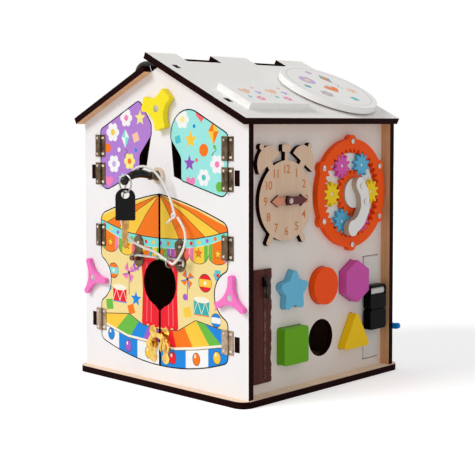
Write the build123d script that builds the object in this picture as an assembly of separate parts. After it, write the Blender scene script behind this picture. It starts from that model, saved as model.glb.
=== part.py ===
from build123d import *
import math
import os

# Wooden busy board shaped as a gabled house. Millimetres, +Z up, origin at the bottom centre
# of the base. The front (door) gable faces -Y, the clock wall faces +X.

# ---- plywood and house ----
PLY = 8.0                   # plywood thickness of every house panel
BASE_SIDE = 300.0
BASE_CORNER_R = 15.0
GABLE_WIDTH = 292.0         # front and back walls
GABLE_FACE_Y = 138.0        # outer faces of the front and back walls
SIDE_FACE_X = 132.0         # outer faces of the left and right walls
ROOF_SLOPE = 25.5           # degrees
RIDGE_Z = 402.5             # where the top faces of both slopes would meet


def level(share):
    """Height of a feature of the walls, as a share of the ridge's height."""
    return share * RIDGE_Z


EAVE_X = 153.0
ROOF_FRONT_Y = -150.0
ROOF_BACK_Y = 140.0
RIGHT_PAST_RIDGE = 16.0     # the right slope runs this far past the ridge, along the slope
LEFT_SHORT_OF_RIDGE = 22.0
RIDGE_FINGER = 60.0         # length along Y of each finger of the left slope
RIDGE_FINGER_YS = (-69.0, 57.0)
JOINT_FIT = 0.1             # clearance round each laser-cut tab, per side
WALL_TAB = 18.0             # height of the side walls' tabs in the gable walls
WALL_TAB_ZS = (level(0.1739), level(0.6484))
FOOT_TAB = 60.0             # length of each wall tab in the base
FOOT_TAB_OFFSETS = (-75.0, 75.0)
ROOF_TAB = 10.0             # length along the slope of each gable tab in the roof
ROOF_TAB_STATIONS = (26.0, 121.5)

# ---- front: doors, shutters and their hinges ----
FRONT_CENTRE_X = -3.0
KERF = 1.5                  # saw gap round each door and shutter
MEETING_GAP = 3.6           # between the two doors
DOOR_HALF_WIDTH = 110.5
DOOR_APEX_Z = level(0.5881)
DOOR_SHOULDER_Z = level(0.5130)
DOOR_SHOULDER_R = 12.0
TENT_BULGE = 3.2            # how far each half of the tent's edge bows up
DOOR_CORNER_Z = level(0.1168)
DOOR_FOOT_Z = level(0.0683)
DOOR_FOOT_R = 8.0
WAIST_CORNER_R = 8.0        # where a door's side runs into its waist
PEEP_HALF_WIDTH = 29.0
PEEP_HALF_HEIGHT = 29.0
PEEP_Z = level(0.3180)
PEEP_TIP_Z = level(0.2323)
HINGE_HEIGHT = 28.0
LEAF_WIDTH = 9.3
LEAF_THICK = 1.1
LEAF_NAIL_INSET = 3.9
BARREL_R = 2.2
HINGE_PIN_R = 0.9
HINGE_PIN_FIT = 0.08
KNUCKLE_GAP = 0.25
NAIL_HEAD_R = 2.2
NAIL_HEAD = 0.9
NAIL_SHANK_R = 0.8
NAIL_SHANK = 5.0
NAIL_SIDES = 8
DOOR_HINGE_ZS = (level(0.1764), level(0.4472))
SHUTTER_HINGE_ZS = (level(0.6435), level(0.7317))

# ---- front: turn pieces ----
SPINNER_R = 26.0            # arm reach of the pink spinners
SPINNER_THICK = 5.5
SPINNER_END_W = 9.0
SPINNER_WAIST_R = 8.5
SPINNER_PIVOT_Z = level(0.3081)
SPINNER_PIVOT_XS = (-125.0, 121.5)
SPINNER_RESTS = (-6.0, 87.0)
WAIST_CLEAR = 5.0           # between a spinner's reach and the waist of the door beside it
WASHER = 1.0
BUTTON_R = 25.5             # arm reach of the yellow turn button
BUTTON_END_W = 19.5
BUTTON_WAIST_R = 13.5
BUTTON_PIVOT_X = 1.0
BUTTON_THICK = 8.0
BUTTON_PIVOT_Z = level(0.8472)
BUTTON_REST = 46.0
PIVOT_SCREW_R = 2.0
PIVOT_FIT = 0.1
SCREW_HEAD_R = 4.2
SCREW_HEAD = 2.6

# ---- front: shutters and the post between them ----
LEFT_SHUTTER_WIDTH = 95.5
LEFT_SHUTTER_WAIST = 74.0
LEFT_SHUTTER_ZS = (level(0.5826), level(0.6596), level(0.7056), level(0.7665),
                   level(0.8012), level(0.8725), level(0.7826))
LEFT_SHUTTER_RADII = (12.0, 4.0, 12.0, 6.0, 9.0, 7.0, 5.0)
RIGHT_SHUTTER_WIDTH = 94.0
RIGHT_SHUTTER_WAIST = 76.5
RIGHT_SHUTTER_ZS = (level(0.5888), level(0.6360), level(0.7031),
                    level(0.7553), level(0.8870), level(0.7727))
RIGHT_SHUTTER_RADII = (10.0, 4.0, 14.0, 8.0, 30.0, 6.0)
POST_LEFT_FOOT_X = -26.0
POST_LEFT_TOP_X = -17.5
POST_RIGHT_FOOT_X = 23.0
POST_RIGHT_TOP_X = 18.0
LEFT_LIGHT_ZS = (level(0.6559), level(0.6720), level(0.7652),
                 level(0.7702), level(0.7106))
RIGHT_LIGHT_ZS = (level(0.6335), level(0.6447), level(0.7553),
                  level(0.7602), level(0.7056))

# ---- front: hook latch, clasp, peg, ring and key ----
PLATE_THICK = 1.2
HOOK_PIVOT_X = -41.0
HOOK_PIVOT_Z = level(0.3901)
HOOK_POST_X = 36.0
HOOK_PLATE_X = 34.0         # catch plate on the right door
HOOK_EAR_ZS = (HOOK_PIVOT_Z - 2.5, HOOK_PIVOT_Z + 18.5)
HOOK_EAR_R = 9.0
HOOK_EYE_R = 4.2
HOOK_STAND = 10.0           # rod axis in front of the doors
ROD_R = 1.5
POST_R = 2.4
TIP_DROP = 7.0              # down-turned end of the rod
TIP_CLEAR = 9.0             # between the down-turned end and the post
LATCH_SEAT = 0.3            # running gap under the rod and beside the pivoted arms
RIVET_HEAD = 1.4
SPLIT_RING_R = 6.4
SPLIT_RING_WIRE = 0.9
SPLIT_RING_X = 26.0
CLASP_PIVOT_X = -14.5
CLASP_PLATE_X = 8.5         # catch plate on the right door
CLASP_STUD_X = 12.0
CLASP_Z = level(0.1304)
CLASP_EAR_ZS = (CLASP_Z - 16.0, CLASP_Z + 16.0)
CLASP_EAR_R = 6.4
CLASP_EYE_R = 8.6
CLASP_STAND = 5.0           # back of the swing arm in front of the doors
CLASP_ARM = 2.4             # thickness of the swing arm
CLASP_ARM_W = 6.0
CLASP_STUD_R = 3.0
CLASP_CURL_W = 3.4
CLASP_NOTCH_PLAY = 2.5
PEG_X = -3.0
PEG_Z = level(0.6460)
ROSETTE_R = 10.0
ROSETTE = 4.0
BRACKET_R = 6.0
BRACKET = 12.0
LEVER_R = 5.2
LEVER_REACH = 60.0          # tip of the black lever in front of the wall
LEVER_ARCH = 7.0
LEVER_DROP = 8.0
LEVER_LEAN = -1.0           # sideways, at the tip
KEY_RING_R = 10.5
KEY_RING_WIRE = 1.1
KEY_RING_LIFT = -0.05       # the ring rests on the rounded end of the lever
KEY_RING_STAND = 53.5       # plane of the key ring in front of the wall
KEY_EYE_R = 4.9
KEY_EYE_DROP = 2.4          # eye's centre below the wire that passes through it
KEY_HEAD_W = 23.5
KEY_HEAD_H = 38.0
KEY_HEAD_THICK = 3.6
KEY_HEAD_ROUND_R = 10.5     # upper corners of the head
KEY_BLADE_W = 8.0
KEY_BLADE = 33.5
KEY_BLADE_THICK = 2.2
KEY_TURN = 44.0             # degrees the key is turned about its own length
CORD_D = 3.0
ROUTE_RIDGE_Z = 402.5       # ridge height that the cord's route below is drawn for

# ---- right wall: clock ----
CLOCK_Y = -64.5
CLOCK_Z = level(0.5776)
CLOCK_R = 47.5
CLOCK_PLY = 6.0
BELL_R = 21.0
BELL_SPREAD = 34.0          # degrees from vertical
HAND_PLY = 2.6
HAND_FIT = 0.3              # between stacked turning pieces
HAND_W = 9.0
HOUR_HAND = 29.0
MINUTE_HAND = 31.5
CLOCK_SCREW_R = 1.8

# ---- right wall: gear toy ----
GEAR_Y = 58.5
GEAR_Z = level(0.5863)
GEAR_MODULE = 2.65
SUN_TEETH = 20
PLANET_TEETH = 10
PLANETS = 6
RING_TEETH = SUN_TEETH + 2 * PLANET_TEETH
RING_R = 68.0
RING_LOBE_R = 8.0
RING_LOBE_STATION = 65.0
RING_PLY = 8.0
RING_SCREW_HEAD_R = 3.4
GEAR_PLY = 5.0
CARRIER_PLY = 2.0
AXLE_R = 2.5
AXLE_FIT = 0.1
SUN_AXLE_R = 4.0
SUN_DISC_R = 18.5
SUN_DISC = 3.0
CRANK_PLY = 8.0
CRANK_W = 17.0
CRANK_SCREW_HEAD_R = 3.2

# ---- right wall: zip, blocks, strap ----
ZIP_PANEL_Y = -104.0
ZIP_WIDTH = 36.0
ZIP_LINE_Y = -100.0         # the teeth run a little off the middle of the panel
ZIP_BOTTOM_Z = level(0.0522)
ZIP_TOP_Z = level(0.3826)
ZIP_THICK = 4.0
TEETH_W = 5.0
TEETH = 1.2                 # how far the teeth stand out of the panel
SLIDER_L = 11.0
SLIDER_W = 9.0
SLIDER = 3.4
SLIDER_FIT = 0.3
PULL_L = 22.0
BLOCK_DEPTH = 24.0          # length of each block through the wall
BLOCK_FIT = 0.6
BLOCK_R = 23.0
STAR_R = 26.5
BLOCK_TOP_ROW_Z = level(0.3081)
BLOCK_LOW_ROW_Z = level(0.1466)
BLOCK_COLUMN_YS = (-52.0, 7.0, 66.0)
STRAP_Y = 107.0
STRAP_W = 30.0
STRAP_THICK = 1.6
STRAP_TOP_Z = level(0.3752)
STRAP_BOTTOM_Z = level(0.0497)
STRAP_TAIL = 6.0            # length of webbing inside each slit
STRAP_LIFT = 0.3            # between the webbing and the wall
SLIT_FIT = 0.8
BUCKLE_TOP_Z = level(0.2870)
BUCKLE_BOTTOM_Z = level(0.1441)
BUCKLE_SPLIT_Z = level(0.2087)
BUCKLE_W = 34.0
BUCKLE_THICK = 11.0
BUCKLE_STAND = 3.0          # back of the buckle in front of the wall
BUCKLE_BAR = 3.2            # end bar that the webbing goes round
BUCKLE_WINDOW = 9.5         # height of the plug's window, where the webbing shows
STRAP_SLOT = 5.0            # depth of the slot behind the socket that holds the webbing
BUCKLE_WALL = 2.4
BUCKLE_CORNER_R = 4.0
BUCKLE_EDGE_R = 1.2
BUCKLE_FIT = 0.4
TONGUE_L = 16.0

# ---- roof ----
DISC_STATION = 97.0         # centre of the big spinning disc, along the slope
DISC_Y = 70.0
DISC_R = 66.0
DISC_PLY = 8.0
DISC_HUB_R = 18.0
DISC_LIFT = 3.0             # height of the disc above the roof, the length of its hub
JIGSAW_TOP_S = 90.0
JIGSAW_BOTTOM_S = 147.0
JIGSAW_YS = (-124.0, -74.0, -19.0)
JIGSAW_PLY = 8.0
JIGSAW_FIT = 0.5
JIGSAW_KNOB_R = 7.0
JIGSAW_PEG_R = 6.0
HANDLE_STATION = 61.0
HANDLE_Y = -62.0
HANDLE_L = 110.0
HANDLE_RISE = 28.0
HANDLE_BAR_R = 8.0
BACK_SPINNER_X = 128.0
BACK_SPINNER_Z = level(0.1391)
BACK_SPINNER_REST = 175.0   # degrees

# ---- derived ----
SLOPE = math.radians(ROOF_SLOPE)
ROOF_DROP = PLY / math.cos(SLOPE)       # vertical thickness of a sloping panel
EAVE_S = EAVE_X / math.cos(SLOPE)
HINGE_LEFT_X = FRONT_CENTRE_X - DOOR_HALF_WIDTH
HINGE_RIGHT_X = FRONT_CENTRE_X + DOOR_HALF_WIDTH + 5.0
WAIST_R = SPINNER_R + WAIST_CLEAR
PLANET_ORBIT = GEAR_MODULE * (SUN_TEETH + PLANET_TEETH) / 2

FRONT = Plane(origin=(0, -GABLE_FACE_Y, 0), x_dir=(1, 0, 0), z_dir=(0, -1, 0))
BACK = Plane(origin=(0, GABLE_FACE_Y, 0), x_dir=(-1, 0, 0), z_dir=(0, 1, 0))
RIGHT = Plane(origin=(SIDE_FACE_X, 0, 0), x_dir=(0, 1, 0), z_dir=(1, 0, 0))
LEFT = Plane(origin=(-SIDE_FACE_X, 0, 0), x_dir=(0, -1, 0), z_dir=(-1, 0, 0))
RIGHT_ROOF = Plane(
    origin=(0, 0, RIDGE_Z),
    x_dir=(math.cos(SLOPE), 0, -math.sin(SLOPE)),
    z_dir=(math.sin(SLOPE), 0, math.cos(SLOPE)),
)
LEFT_ROOF = Plane(
    origin=(0, 0, RIDGE_Z),
    x_dir=(-math.cos(SLOPE), 0, -math.sin(SLOPE)),
    z_dir=(-math.sin(SLOPE), 0, math.cos(SLOPE)),
)

nodes = {}


def slab(plane, sketch, low, high):
    """The sketch, drawn on the plane, made solid between two heights above the plane."""
    return plane.offset(low).location * extrude(sketch, amount=high - low)


def polygon(points, radii=0.0):
    """A closed outline with each corner rounded."""
    if not isinstance(radii, (int, float)):
        radii = list(radii)
    if isinstance(radii, list) or radii > 0:
        return make_face(FilletPolyline(*points, radius=radii, close=True))
    return make_face(Polyline(*points, close=True))


def box_at(width, height, x, y):
    return Pos(x, y) * Rectangle(width, height)


def disc_at(radius, x, y):
    return Pos(x, y) * Circle(radius)


def group(solids):
    """Separate solids kept side by side in one node."""
    return Compound(children=[s for item in solids for s in item.solids()])


def polar(radius, angle):
    return radius * math.cos(math.radians(angle)), radius * math.sin(math.radians(angle))


# ---- house shell ----
def under_roof(x):
    """Height of the underside of the roof above a point of the floor plan."""
    return RIDGE_Z - ROOF_DROP - abs(x) * math.tan(SLOPE)


def foot_tabs():
    tabs = [box_at(FOOT_TAB, PLY * 2, at, 0) for at in FOOT_TAB_OFFSETS]
    return tabs[0] + tabs[1]


def gable_outline():
    half = GABLE_WIDTH / 2
    return polygon([(-half, PLY), (half, PLY), (half, under_roof(half)),
                    (0, under_roof(0)), (-half, under_roof(half))])


def roof_tab(station):
    """A tab of the gable wall that passes through the slope, as drawn on the wall."""
    rise = Pos(station, -PLY / 2) * Rectangle(ROOF_TAB, PLY)
    return Pos(0, RIDGE_Z) * (Rot(0, 0, -ROOF_SLOPE) * rise)


def gable_wall(plane):
    outline = gable_outline()
    for station in ROOF_TAB_STATIONS:
        tab = roof_tab(station)
        outline += tab + mirror(tab, about=Plane.YZ)
    outline += foot_tabs() & box_at(BASE_SIDE, PLY, 0, PLY / 2)
    for z in WALL_TAB_ZS:
        for x in (-1, 1):
            slot_x = x * (SIDE_FACE_X - PLY / 2)
            outline -= box_at(PLY + 2 * JOINT_FIT, WALL_TAB + 2 * JOINT_FIT, slot_x, z)
    return slab(plane, outline, -PLY, 0)


def side_wall(plane, cuts):
    depth = 2 * (GABLE_FACE_Y - PLY)
    top = under_roof(SIDE_FACE_X)
    outline = box_at(depth, top - PLY, 0, (top + PLY) / 2)
    for z in WALL_TAB_ZS:
        outline += box_at(depth + 2 * PLY, WALL_TAB, 0, z)
    outline += foot_tabs() & box_at(BASE_SIDE, PLY, 0, PLY / 2)
    for cut in cuts:
        outline -= cut
    return slab(plane, outline, -PLY, 0)


def base_plate():
    outline = RectangleRounded(BASE_SIDE, BASE_SIDE, BASE_CORNER_R)
    slot = FOOT_TAB + 2 * JOINT_FIT, PLY + 2 * JOINT_FIT
    for at in FOOT_TAB_OFFSETS:
        for side in (-1, 1):
            outline -= box_at(slot[0], slot[1], at, side * (GABLE_FACE_Y - PLY / 2))
            outline -= box_at(slot[1], slot[0], side * (SIDE_FACE_X - PLY / 2), at)
    return extrude(outline, amount=PLY)


def roof_slots(mirrored=1):
    cut = None
    for station in ROOF_TAB_STATIONS:
        for side in (-1, 1):
            slot = box_at(ROOF_TAB + 2 * JOINT_FIT, PLY + 2 * JOINT_FIT, station,
                          mirrored * side * (GABLE_FACE_Y - PLY / 2))
            cut = slot if cut is None else cut + slot
    return cut


def finger_reach():
    """Station on the right slope of the lowest corner of a finger that ends at the ridge."""
    x, z = PLY * math.sin(SLOPE), -PLY * math.cos(SLOPE)
    return x * math.cos(SLOPE) - z * math.sin(SLOPE)


def roof_right_panel():
    length = EAVE_S + RIGHT_PAST_RIDGE
    depth = ROOF_BACK_Y - ROOF_FRONT_Y
    middle = (ROOF_BACK_Y + ROOF_FRONT_Y) / 2
    outline = box_at(length, depth, (EAVE_S - RIGHT_PAST_RIDGE) / 2, middle) - roof_slots()
    notch_end = finger_reach() + JOINT_FIT + 0.2
    notch = RIGHT_PAST_RIDGE + notch_end
    for y in RIDGE_FINGER_YS:
        outline -= box_at(notch, RIDGE_FINGER + 2 * JOINT_FIT, notch_end - notch / 2, y)
    panel = slab(RIGHT_ROOF, outline, -PLY, 0)
    for y in jigsaw_centres():
        seat = disc_at(JIGSAW_PEG_R + JIGSAW_FIT, jigsaw_middle_s(), y)
        panel -= slab(RIGHT_ROOF, seat, -PLY, 0)
    return panel - slab(RIGHT_ROOF, disc_at(PIVOT_SCREW_R, DISC_STATION, DISC_Y), -PLY, 0)


def roof_left_panel():
    length = EAVE_S - LEFT_SHORT_OF_RIDGE
    depth = ROOF_BACK_Y - ROOF_FRONT_Y
    middle = -(ROOF_BACK_Y + ROOF_FRONT_Y) / 2
    outline = box_at(length, depth, (EAVE_S + LEFT_SHORT_OF_RIDGE) / 2, middle)
    outline -= roof_slots(-1)
    for y in RIDGE_FINGER_YS:
        outline += box_at(LEFT_SHORT_OF_RIDGE + 1, RIDGE_FINGER, LEFT_SHORT_OF_RIDGE / 2 + 0.5, -y)
    return slab(LEFT_ROOF, outline, -PLY, 0)


# ---- doors and shutters ----
def corners_at(outline, z):
    return outline.vertices().filter_by(lambda corner: abs(corner.Y - z) < 0.01)


def doors_outline(grow=0.0):
    """Both carousel doors together, optionally grown all round."""
    left, right = HINGE_LEFT_X, HINGE_RIGHT_X
    foot = ThreePointArc((left, DOOR_CORNER_Z), (FRONT_CENTRE_X, DOOR_FOOT_Z), (right, DOOR_CORNER_Z))
    edges = [foot]
    for side_x in (left, right):
        middle_x, middle_z = (side_x + FRONT_CENTRE_X) / 2, (DOOR_SHOULDER_Z + DOOR_APEX_Z) / 2
        edges.append(Line((side_x, DOOR_CORNER_Z), (side_x, DOOR_SHOULDER_Z)))
        edges.append(ThreePointArc((side_x, DOOR_SHOULDER_Z), (middle_x, middle_z + TENT_BULGE),
                                   (FRONT_CENTRE_X, DOOR_APEX_Z)))
    outline = make_face(edges)
    outline = fillet(corners_at(outline, DOOR_CORNER_Z), DOOR_FOOT_R)
    outline = fillet(corners_at(outline, DOOR_SHOULDER_Z), DOOR_SHOULDER_R)
    for pivot_x, side_x in zip(SPINNER_PIVOT_XS, (left, right)):
        outline -= disc_at(WAIST_R, pivot_x, SPINNER_PIVOT_Z)
        rise = math.sqrt(WAIST_R ** 2 - (pivot_x - side_x) ** 2)
        waist = outline.vertices().filter_by(
            lambda corner: abs(corner.X - side_x) < 0.01 and abs(corner.Y - SPINNER_PIVOT_Z) < rise + 1)
        outline = fillet(waist, WAIST_CORNER_R)
    return offset(outline, grow, kind=Kind.INTERSECTION) if grow else outline


def peep_hole():
    egg = Pos(FRONT_CENTRE_X, PEEP_Z) * Ellipse(PEEP_HALF_WIDTH, PEEP_HALF_HEIGHT)
    reach = 0.62 * PEEP_HALF_WIDTH
    chord = PEEP_Z - PEEP_HALF_HEIGHT * 0.72
    tip = polygon([(FRONT_CENTRE_X - reach, chord), (FRONT_CENTRE_X, PEEP_TIP_Z),
                   (FRONT_CENTRE_X + reach, chord)])
    return egg + tip


def door(side):
    half_x = FRONT_CENTRE_X + side * (BASE_SIDE + MEETING_GAP / 2)
    half = box_at(2 * BASE_SIDE, 2 * RIDGE_Z, half_x, 0)
    return slab(FRONT, (doors_outline() & half) - peep_hole(), -PLY, 0)


def shutter_outline(side):
    """One window shutter, for the left side (-1) or the right side (+1) of the wall."""
    if side < 0:
        waist, inner = HINGE_LEFT_X + LEFT_SHUTTER_WAIST, HINGE_LEFT_X + LEFT_SHUTTER_WIDTH
        xs = (HINGE_LEFT_X, waist, waist, inner, inner, waist, HINGE_LEFT_X)
        return polygon(list(zip(xs, LEFT_SHUTTER_ZS)), LEFT_SHUTTER_RADII)
    waist, inner = HINGE_RIGHT_X - RIGHT_SHUTTER_WAIST, HINGE_RIGHT_X - RIGHT_SHUTTER_WIDTH
    xs = (HINGE_RIGHT_X, waist, waist, inner, inner, HINGE_RIGHT_X)
    return polygon(list(zip(xs, RIGHT_SHUTTER_ZS)), RIGHT_SHUTTER_RADII)


def window_outline(side):
    """The hole in the wall behind a shutter: wider than the shutter at its waist."""
    grown = offset(shutter_outline(side), KERF, kind=Kind.INTERSECTION)
    if side < 0:
        xs = (HINGE_LEFT_X + LEFT_SHUTTER_WAIST - 1.5, POST_LEFT_FOOT_X, POST_LEFT_TOP_X,
              POST_LEFT_TOP_X - 2, HINGE_LEFT_X + LEFT_SHUTTER_WAIST - 1.5)
        zs = LEFT_LIGHT_ZS
    else:
        xs = (HINGE_RIGHT_X - RIGHT_SHUTTER_WAIST + 2, POST_RIGHT_FOOT_X, POST_RIGHT_TOP_X,
              POST_RIGHT_TOP_X + 2, HINGE_RIGHT_X - RIGHT_SHUTTER_WAIST + 2)
        zs = RIGHT_LIGHT_ZS
    return grown + polygon(list(zip(xs, zs)), 1.5)


# ---- hinges and nails ----
def nail(plane, x, y, seat):
    """A round-head nail driven into the plane, its head resting at the given height."""
    head = Pos(x, y) * RegularPolygon(NAIL_HEAD_R, NAIL_SIDES)
    cap = plane.offset(seat).location * extrude(head, amount=NAIL_HEAD, taper=35)
    return cap + nail_shank(plane, x, y, seat, seat)


def nail_shank(plane, x, y, seat, top):
    shank = Pos(x, y) * RegularPolygon(NAIL_SHANK_R, NAIL_SIDES)
    return slab(plane, shank, seat - NAIL_SHANK, top)


def leaf_nail_points(line_x, side, z):
    """The two nails of a hinge leaf, on the given side of the hinge line."""
    across = line_x + side * (LEAF_WIDTH - LEAF_NAIL_INSET)
    return [(across, z + end * (HINGE_HEIGHT / 2 - LEAF_NAIL_INSET)) for end in (-1, 1)]


def hinge_leaf(line_x, side, z, knuckles):
    """One leaf with its nails and its knuckles, given as the fifths of the height they take."""
    inner, outer = side * BARREL_R * 0.55, side * LEAF_WIDTH
    strap = box_at(abs(outer - inner), HINGE_HEIGHT, line_x + (inner + outer) / 2, z)
    leaf = slab(FRONT, strap, 0, LEAF_THICK)
    relief = Circle(BARREL_R + KNUCKLE_GAP)
    barrel = Circle(BARREL_R)
    across = hinge_plane(line_x)
    fifth = HINGE_HEIGHT / 5
    for i in range(5):
        low = z - HINGE_HEIGHT / 2 + i * fifth
        gap_low = KNUCKLE_GAP / 2 if i > 0 else 0
        gap_high = KNUCKLE_GAP / 2 if i < 4 else 0
        if i in knuckles:
            leaf += slab(across, barrel, low + gap_low, low + fifth - gap_high)
        else:
            leaf -= slab(across, relief, low - gap_low, low + fifth + gap_high)
    for x, nail_z in leaf_nail_points(line_x, side, z):
        leaf += nail(FRONT, x, nail_z, LEAF_THICK)
    return leaf - slab(across, Circle(HINGE_PIN_R + HINGE_PIN_FIT), z - HINGE_HEIGHT, z + HINGE_HEIGHT)


def hinge_plane(line_x):
    return Plane(origin=(line_x, -GABLE_FACE_Y - BARREL_R, 0), z_dir=(0, 0, 1))


def fixed_hinge_leaf(line_x, side, z):
    """The wall's leaf, with the pin held in its knuckles."""
    leaf = hinge_leaf(line_x, side, z, FIXED_KNUCKLES)
    pin = slab(hinge_plane(line_x), Circle(HINGE_PIN_R), z - HINGE_HEIGHT / 2, z + HINGE_HEIGHT / 2)
    held = Circle(HINGE_PIN_R + 2 * HINGE_PIN_FIT)
    fifth = HINGE_HEIGHT / 5
    for i in FIXED_KNUCKLES:
        low = z - HINGE_HEIGHT / 2 + i * fifth + KNUCKLE_GAP
        pin += slab(hinge_plane(line_x), held, low, low + fifth - 2 * KNUCKLE_GAP)
    return leaf + pin


def leaf_nail_holes(line_x, side, zs):
    return [nail_shank(FRONT, x, z, LEAF_THICK, 0)
            for hinge_z in zs for x, z in leaf_nail_points(line_x, side, hinge_z)]


FIXED_KNUCKLES = (0, 2, 4)
MOVING_KNUCKLES = (1, 3)
LINE_LEFT = HINGE_LEFT_X - KERF / 2
LINE_RIGHT = HINGE_RIGHT_X + KERF / 2


# ---- three-arm turn pieces ----
def three_arms(reach, end_w, waist_r, rest, end_r):
    """Outline of a three-arm turn piece: blunt arm ends joined by hollow flanks."""
    edges = []
    for k in range(3):
        at, following = rest + 120 * k, rest + 120 * (k + 1)
        start = Vector(*polar(reach, at)) - Vector(*polar(end_w / 2, at + 90))
        stop = Vector(*polar(reach, at)) + Vector(*polar(end_w / 2, at + 90))
        onward = Vector(*polar(reach, following)) - Vector(*polar(end_w / 2, following + 90))
        edges.append(Line(start, stop))
        edges.append(ThreePointArc(stop, polar(waist_r, at + 60), onward))
    outline = make_face(edges)
    return fillet(outline.vertices(), end_r)


def turn_piece(plane, x, y, outline, thick):
    bore = Circle(PIVOT_SCREW_R + PIVOT_FIT)
    cone_low = WASHER + thick - SCREW_HEAD
    body = slab(plane, Pos(x, y) * (outline - bore), WASHER, WASHER + thick)
    sink = Pos(x, y) * Circle(SCREW_HEAD_R + PIVOT_FIT)
    return body - slab(plane, sink, cone_low - HAND_FIT, WASHER + thick)


def pivot_screw(plane, x, y, thick):
    """Sunk pivot screw with the washer that keeps the turn piece off the wall."""
    top = WASHER + thick
    head = slab(plane, disc_at(SCREW_HEAD_R, x, y), top - SCREW_HEAD, top - 0.4)
    shank = slab(plane, disc_at(PIVOT_SCREW_R, x, y), -PLY + 1, top - SCREW_HEAD)
    return head + shank + slab(plane, disc_at(SCREW_HEAD_R, x, y), 0, WASHER - HAND_FIT / 2)


def spinner_outline(rest):
    return three_arms(SPINNER_R, SPINNER_END_W, SPINNER_WAIST_R, rest, 3.5)


def button_outline(rest):
    return three_arms(BUTTON_R, BUTTON_END_W, BUTTON_WAIST_R, rest, 2.0)


# ---- hook latch ----
def latch_plate(x, ear_zs, ear_r, eye_z, eye_r):
    """A nailed latch plate: two round ears with a round eye between them."""
    low, high = ear_zs
    outline = disc_at(ear_r, x, low) + disc_at(ear_r, x, high) + disc_at(eye_r, x, eye_z)
    outline += box_at(1.4 * ear_r, high - low, x, (low + high) / 2)
    plate = slab(FRONT, outline, 0, PLATE_THICK)
    for z in ear_zs:
        plate += nail(FRONT, x, z, PLATE_THICK)
    return plate


def pivot_rivet(x, z, boss_r, head_r, arm_low, arm_high):
    """Boss behind a swinging piece, the rivet that it turns on and the rivet's head."""
    boss = slab(FRONT, disc_at(boss_r, x, z), 0, arm_low - LATCH_SEAT)
    shank = slab(FRONT, disc_at(PIVOT_SCREW_R, x, z), 0, arm_high + PIVOT_FIT)
    head = slab(FRONT, disc_at(head_r, x, z), arm_high + PIVOT_FIT, arm_high + PIVOT_FIT + RIVET_HEAD)
    return boss + shank + head


def rod_height():
    """Height of the hook's rod at rest, just above the catch post."""
    return HOOK_PIVOT_Z + POST_R + LATCH_SEAT + ROD_R


def hook_plates():
    """The hook's pivot plate on the left door and its catch plate on the right door."""
    pivot = latch_plate(HOOK_PIVOT_X, HOOK_EAR_ZS, HOOK_EAR_R, HOOK_PIVOT_Z, HOOK_EAR_R + 1)
    pivot += pivot_rivet(HOOK_PIVOT_X, HOOK_PIVOT_Z, HOOK_EYE_R, HOOK_EYE_R - 1,
                         HOOK_STAND - ROD_R, HOOK_STAND + ROD_R)
    catch = latch_plate(HOOK_PLATE_X, HOOK_EAR_ZS, HOOK_EAR_R, HOOK_PIVOT_Z, HOOK_EAR_R + 1)
    catch += slab(FRONT, disc_at(POST_R, HOOK_POST_X, HOOK_PIVOT_Z), 0, HOOK_STAND + ROD_R)
    return pivot, catch


def hook_rod():
    """Round rod from its pivot eye to the down-turned end that drops over the post."""
    low, high = HOOK_STAND - ROD_R, HOOK_STAND + ROD_R
    end_x = HOOK_POST_X + POST_R + TIP_CLEAR + ROD_R
    rest_z = rod_height()
    eye = slab(FRONT, disc_at(HOOK_EYE_R, HOOK_PIVOT_X, HOOK_PIVOT_Z), low, high)
    eye -= slab(FRONT, disc_at(PIVOT_SCREW_R + PIVOT_FIT, HOOK_PIVOT_X, HOOK_PIVOT_Z), low, high)
    path = FilletPolyline((HOOK_PIVOT_X + 3.4, rest_z - 1.6), (HOOK_PIVOT_X + 9, rest_z),
                          (end_x, rest_z), (end_x, rest_z - TIP_DROP), radius=[6.0, 2.4])
    world = FRONT.offset(HOOK_STAND).location * path
    start = world.edges()[0]
    section = Plane(origin=start @ 0, z_dir=start % 0) * Circle(ROD_R)
    return eye + sweep(section, path=world)


def split_ring():
    """Split ring that hangs from the rod, across it."""
    centre_z = rod_height() + ROD_R + PIVOT_FIT - (SPLIT_RING_R - SPLIT_RING_WIRE)
    at = Location((SPLIT_RING_X, -GABLE_FACE_Y - HOOK_STAND, centre_z), (0, 90, 0))
    return at * Torus(SPLIT_RING_R, SPLIT_RING_WIRE)


# ---- clasp ----
def clasp_plates():
    """The clasp's pivot plate on the left door and its plate with the stud on the right door."""
    arm_high = CLASP_STAND + CLASP_ARM
    pivot = latch_plate(CLASP_PIVOT_X, CLASP_EAR_ZS, CLASP_EAR_R, CLASP_Z, CLASP_EYE_R)
    pivot += pivot_rivet(CLASP_PIVOT_X, CLASP_Z, CLASP_EYE_R / 2, 3.4, CLASP_STAND, arm_high)
    catch = latch_plate(CLASP_PLATE_X, CLASP_EAR_ZS, CLASP_EAR_R, CLASP_Z, CLASP_EYE_R)
    catch += slab(FRONT, disc_at(CLASP_STUD_R, CLASP_STUD_X, CLASP_Z), 0, arm_high)
    return pivot, catch


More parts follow.
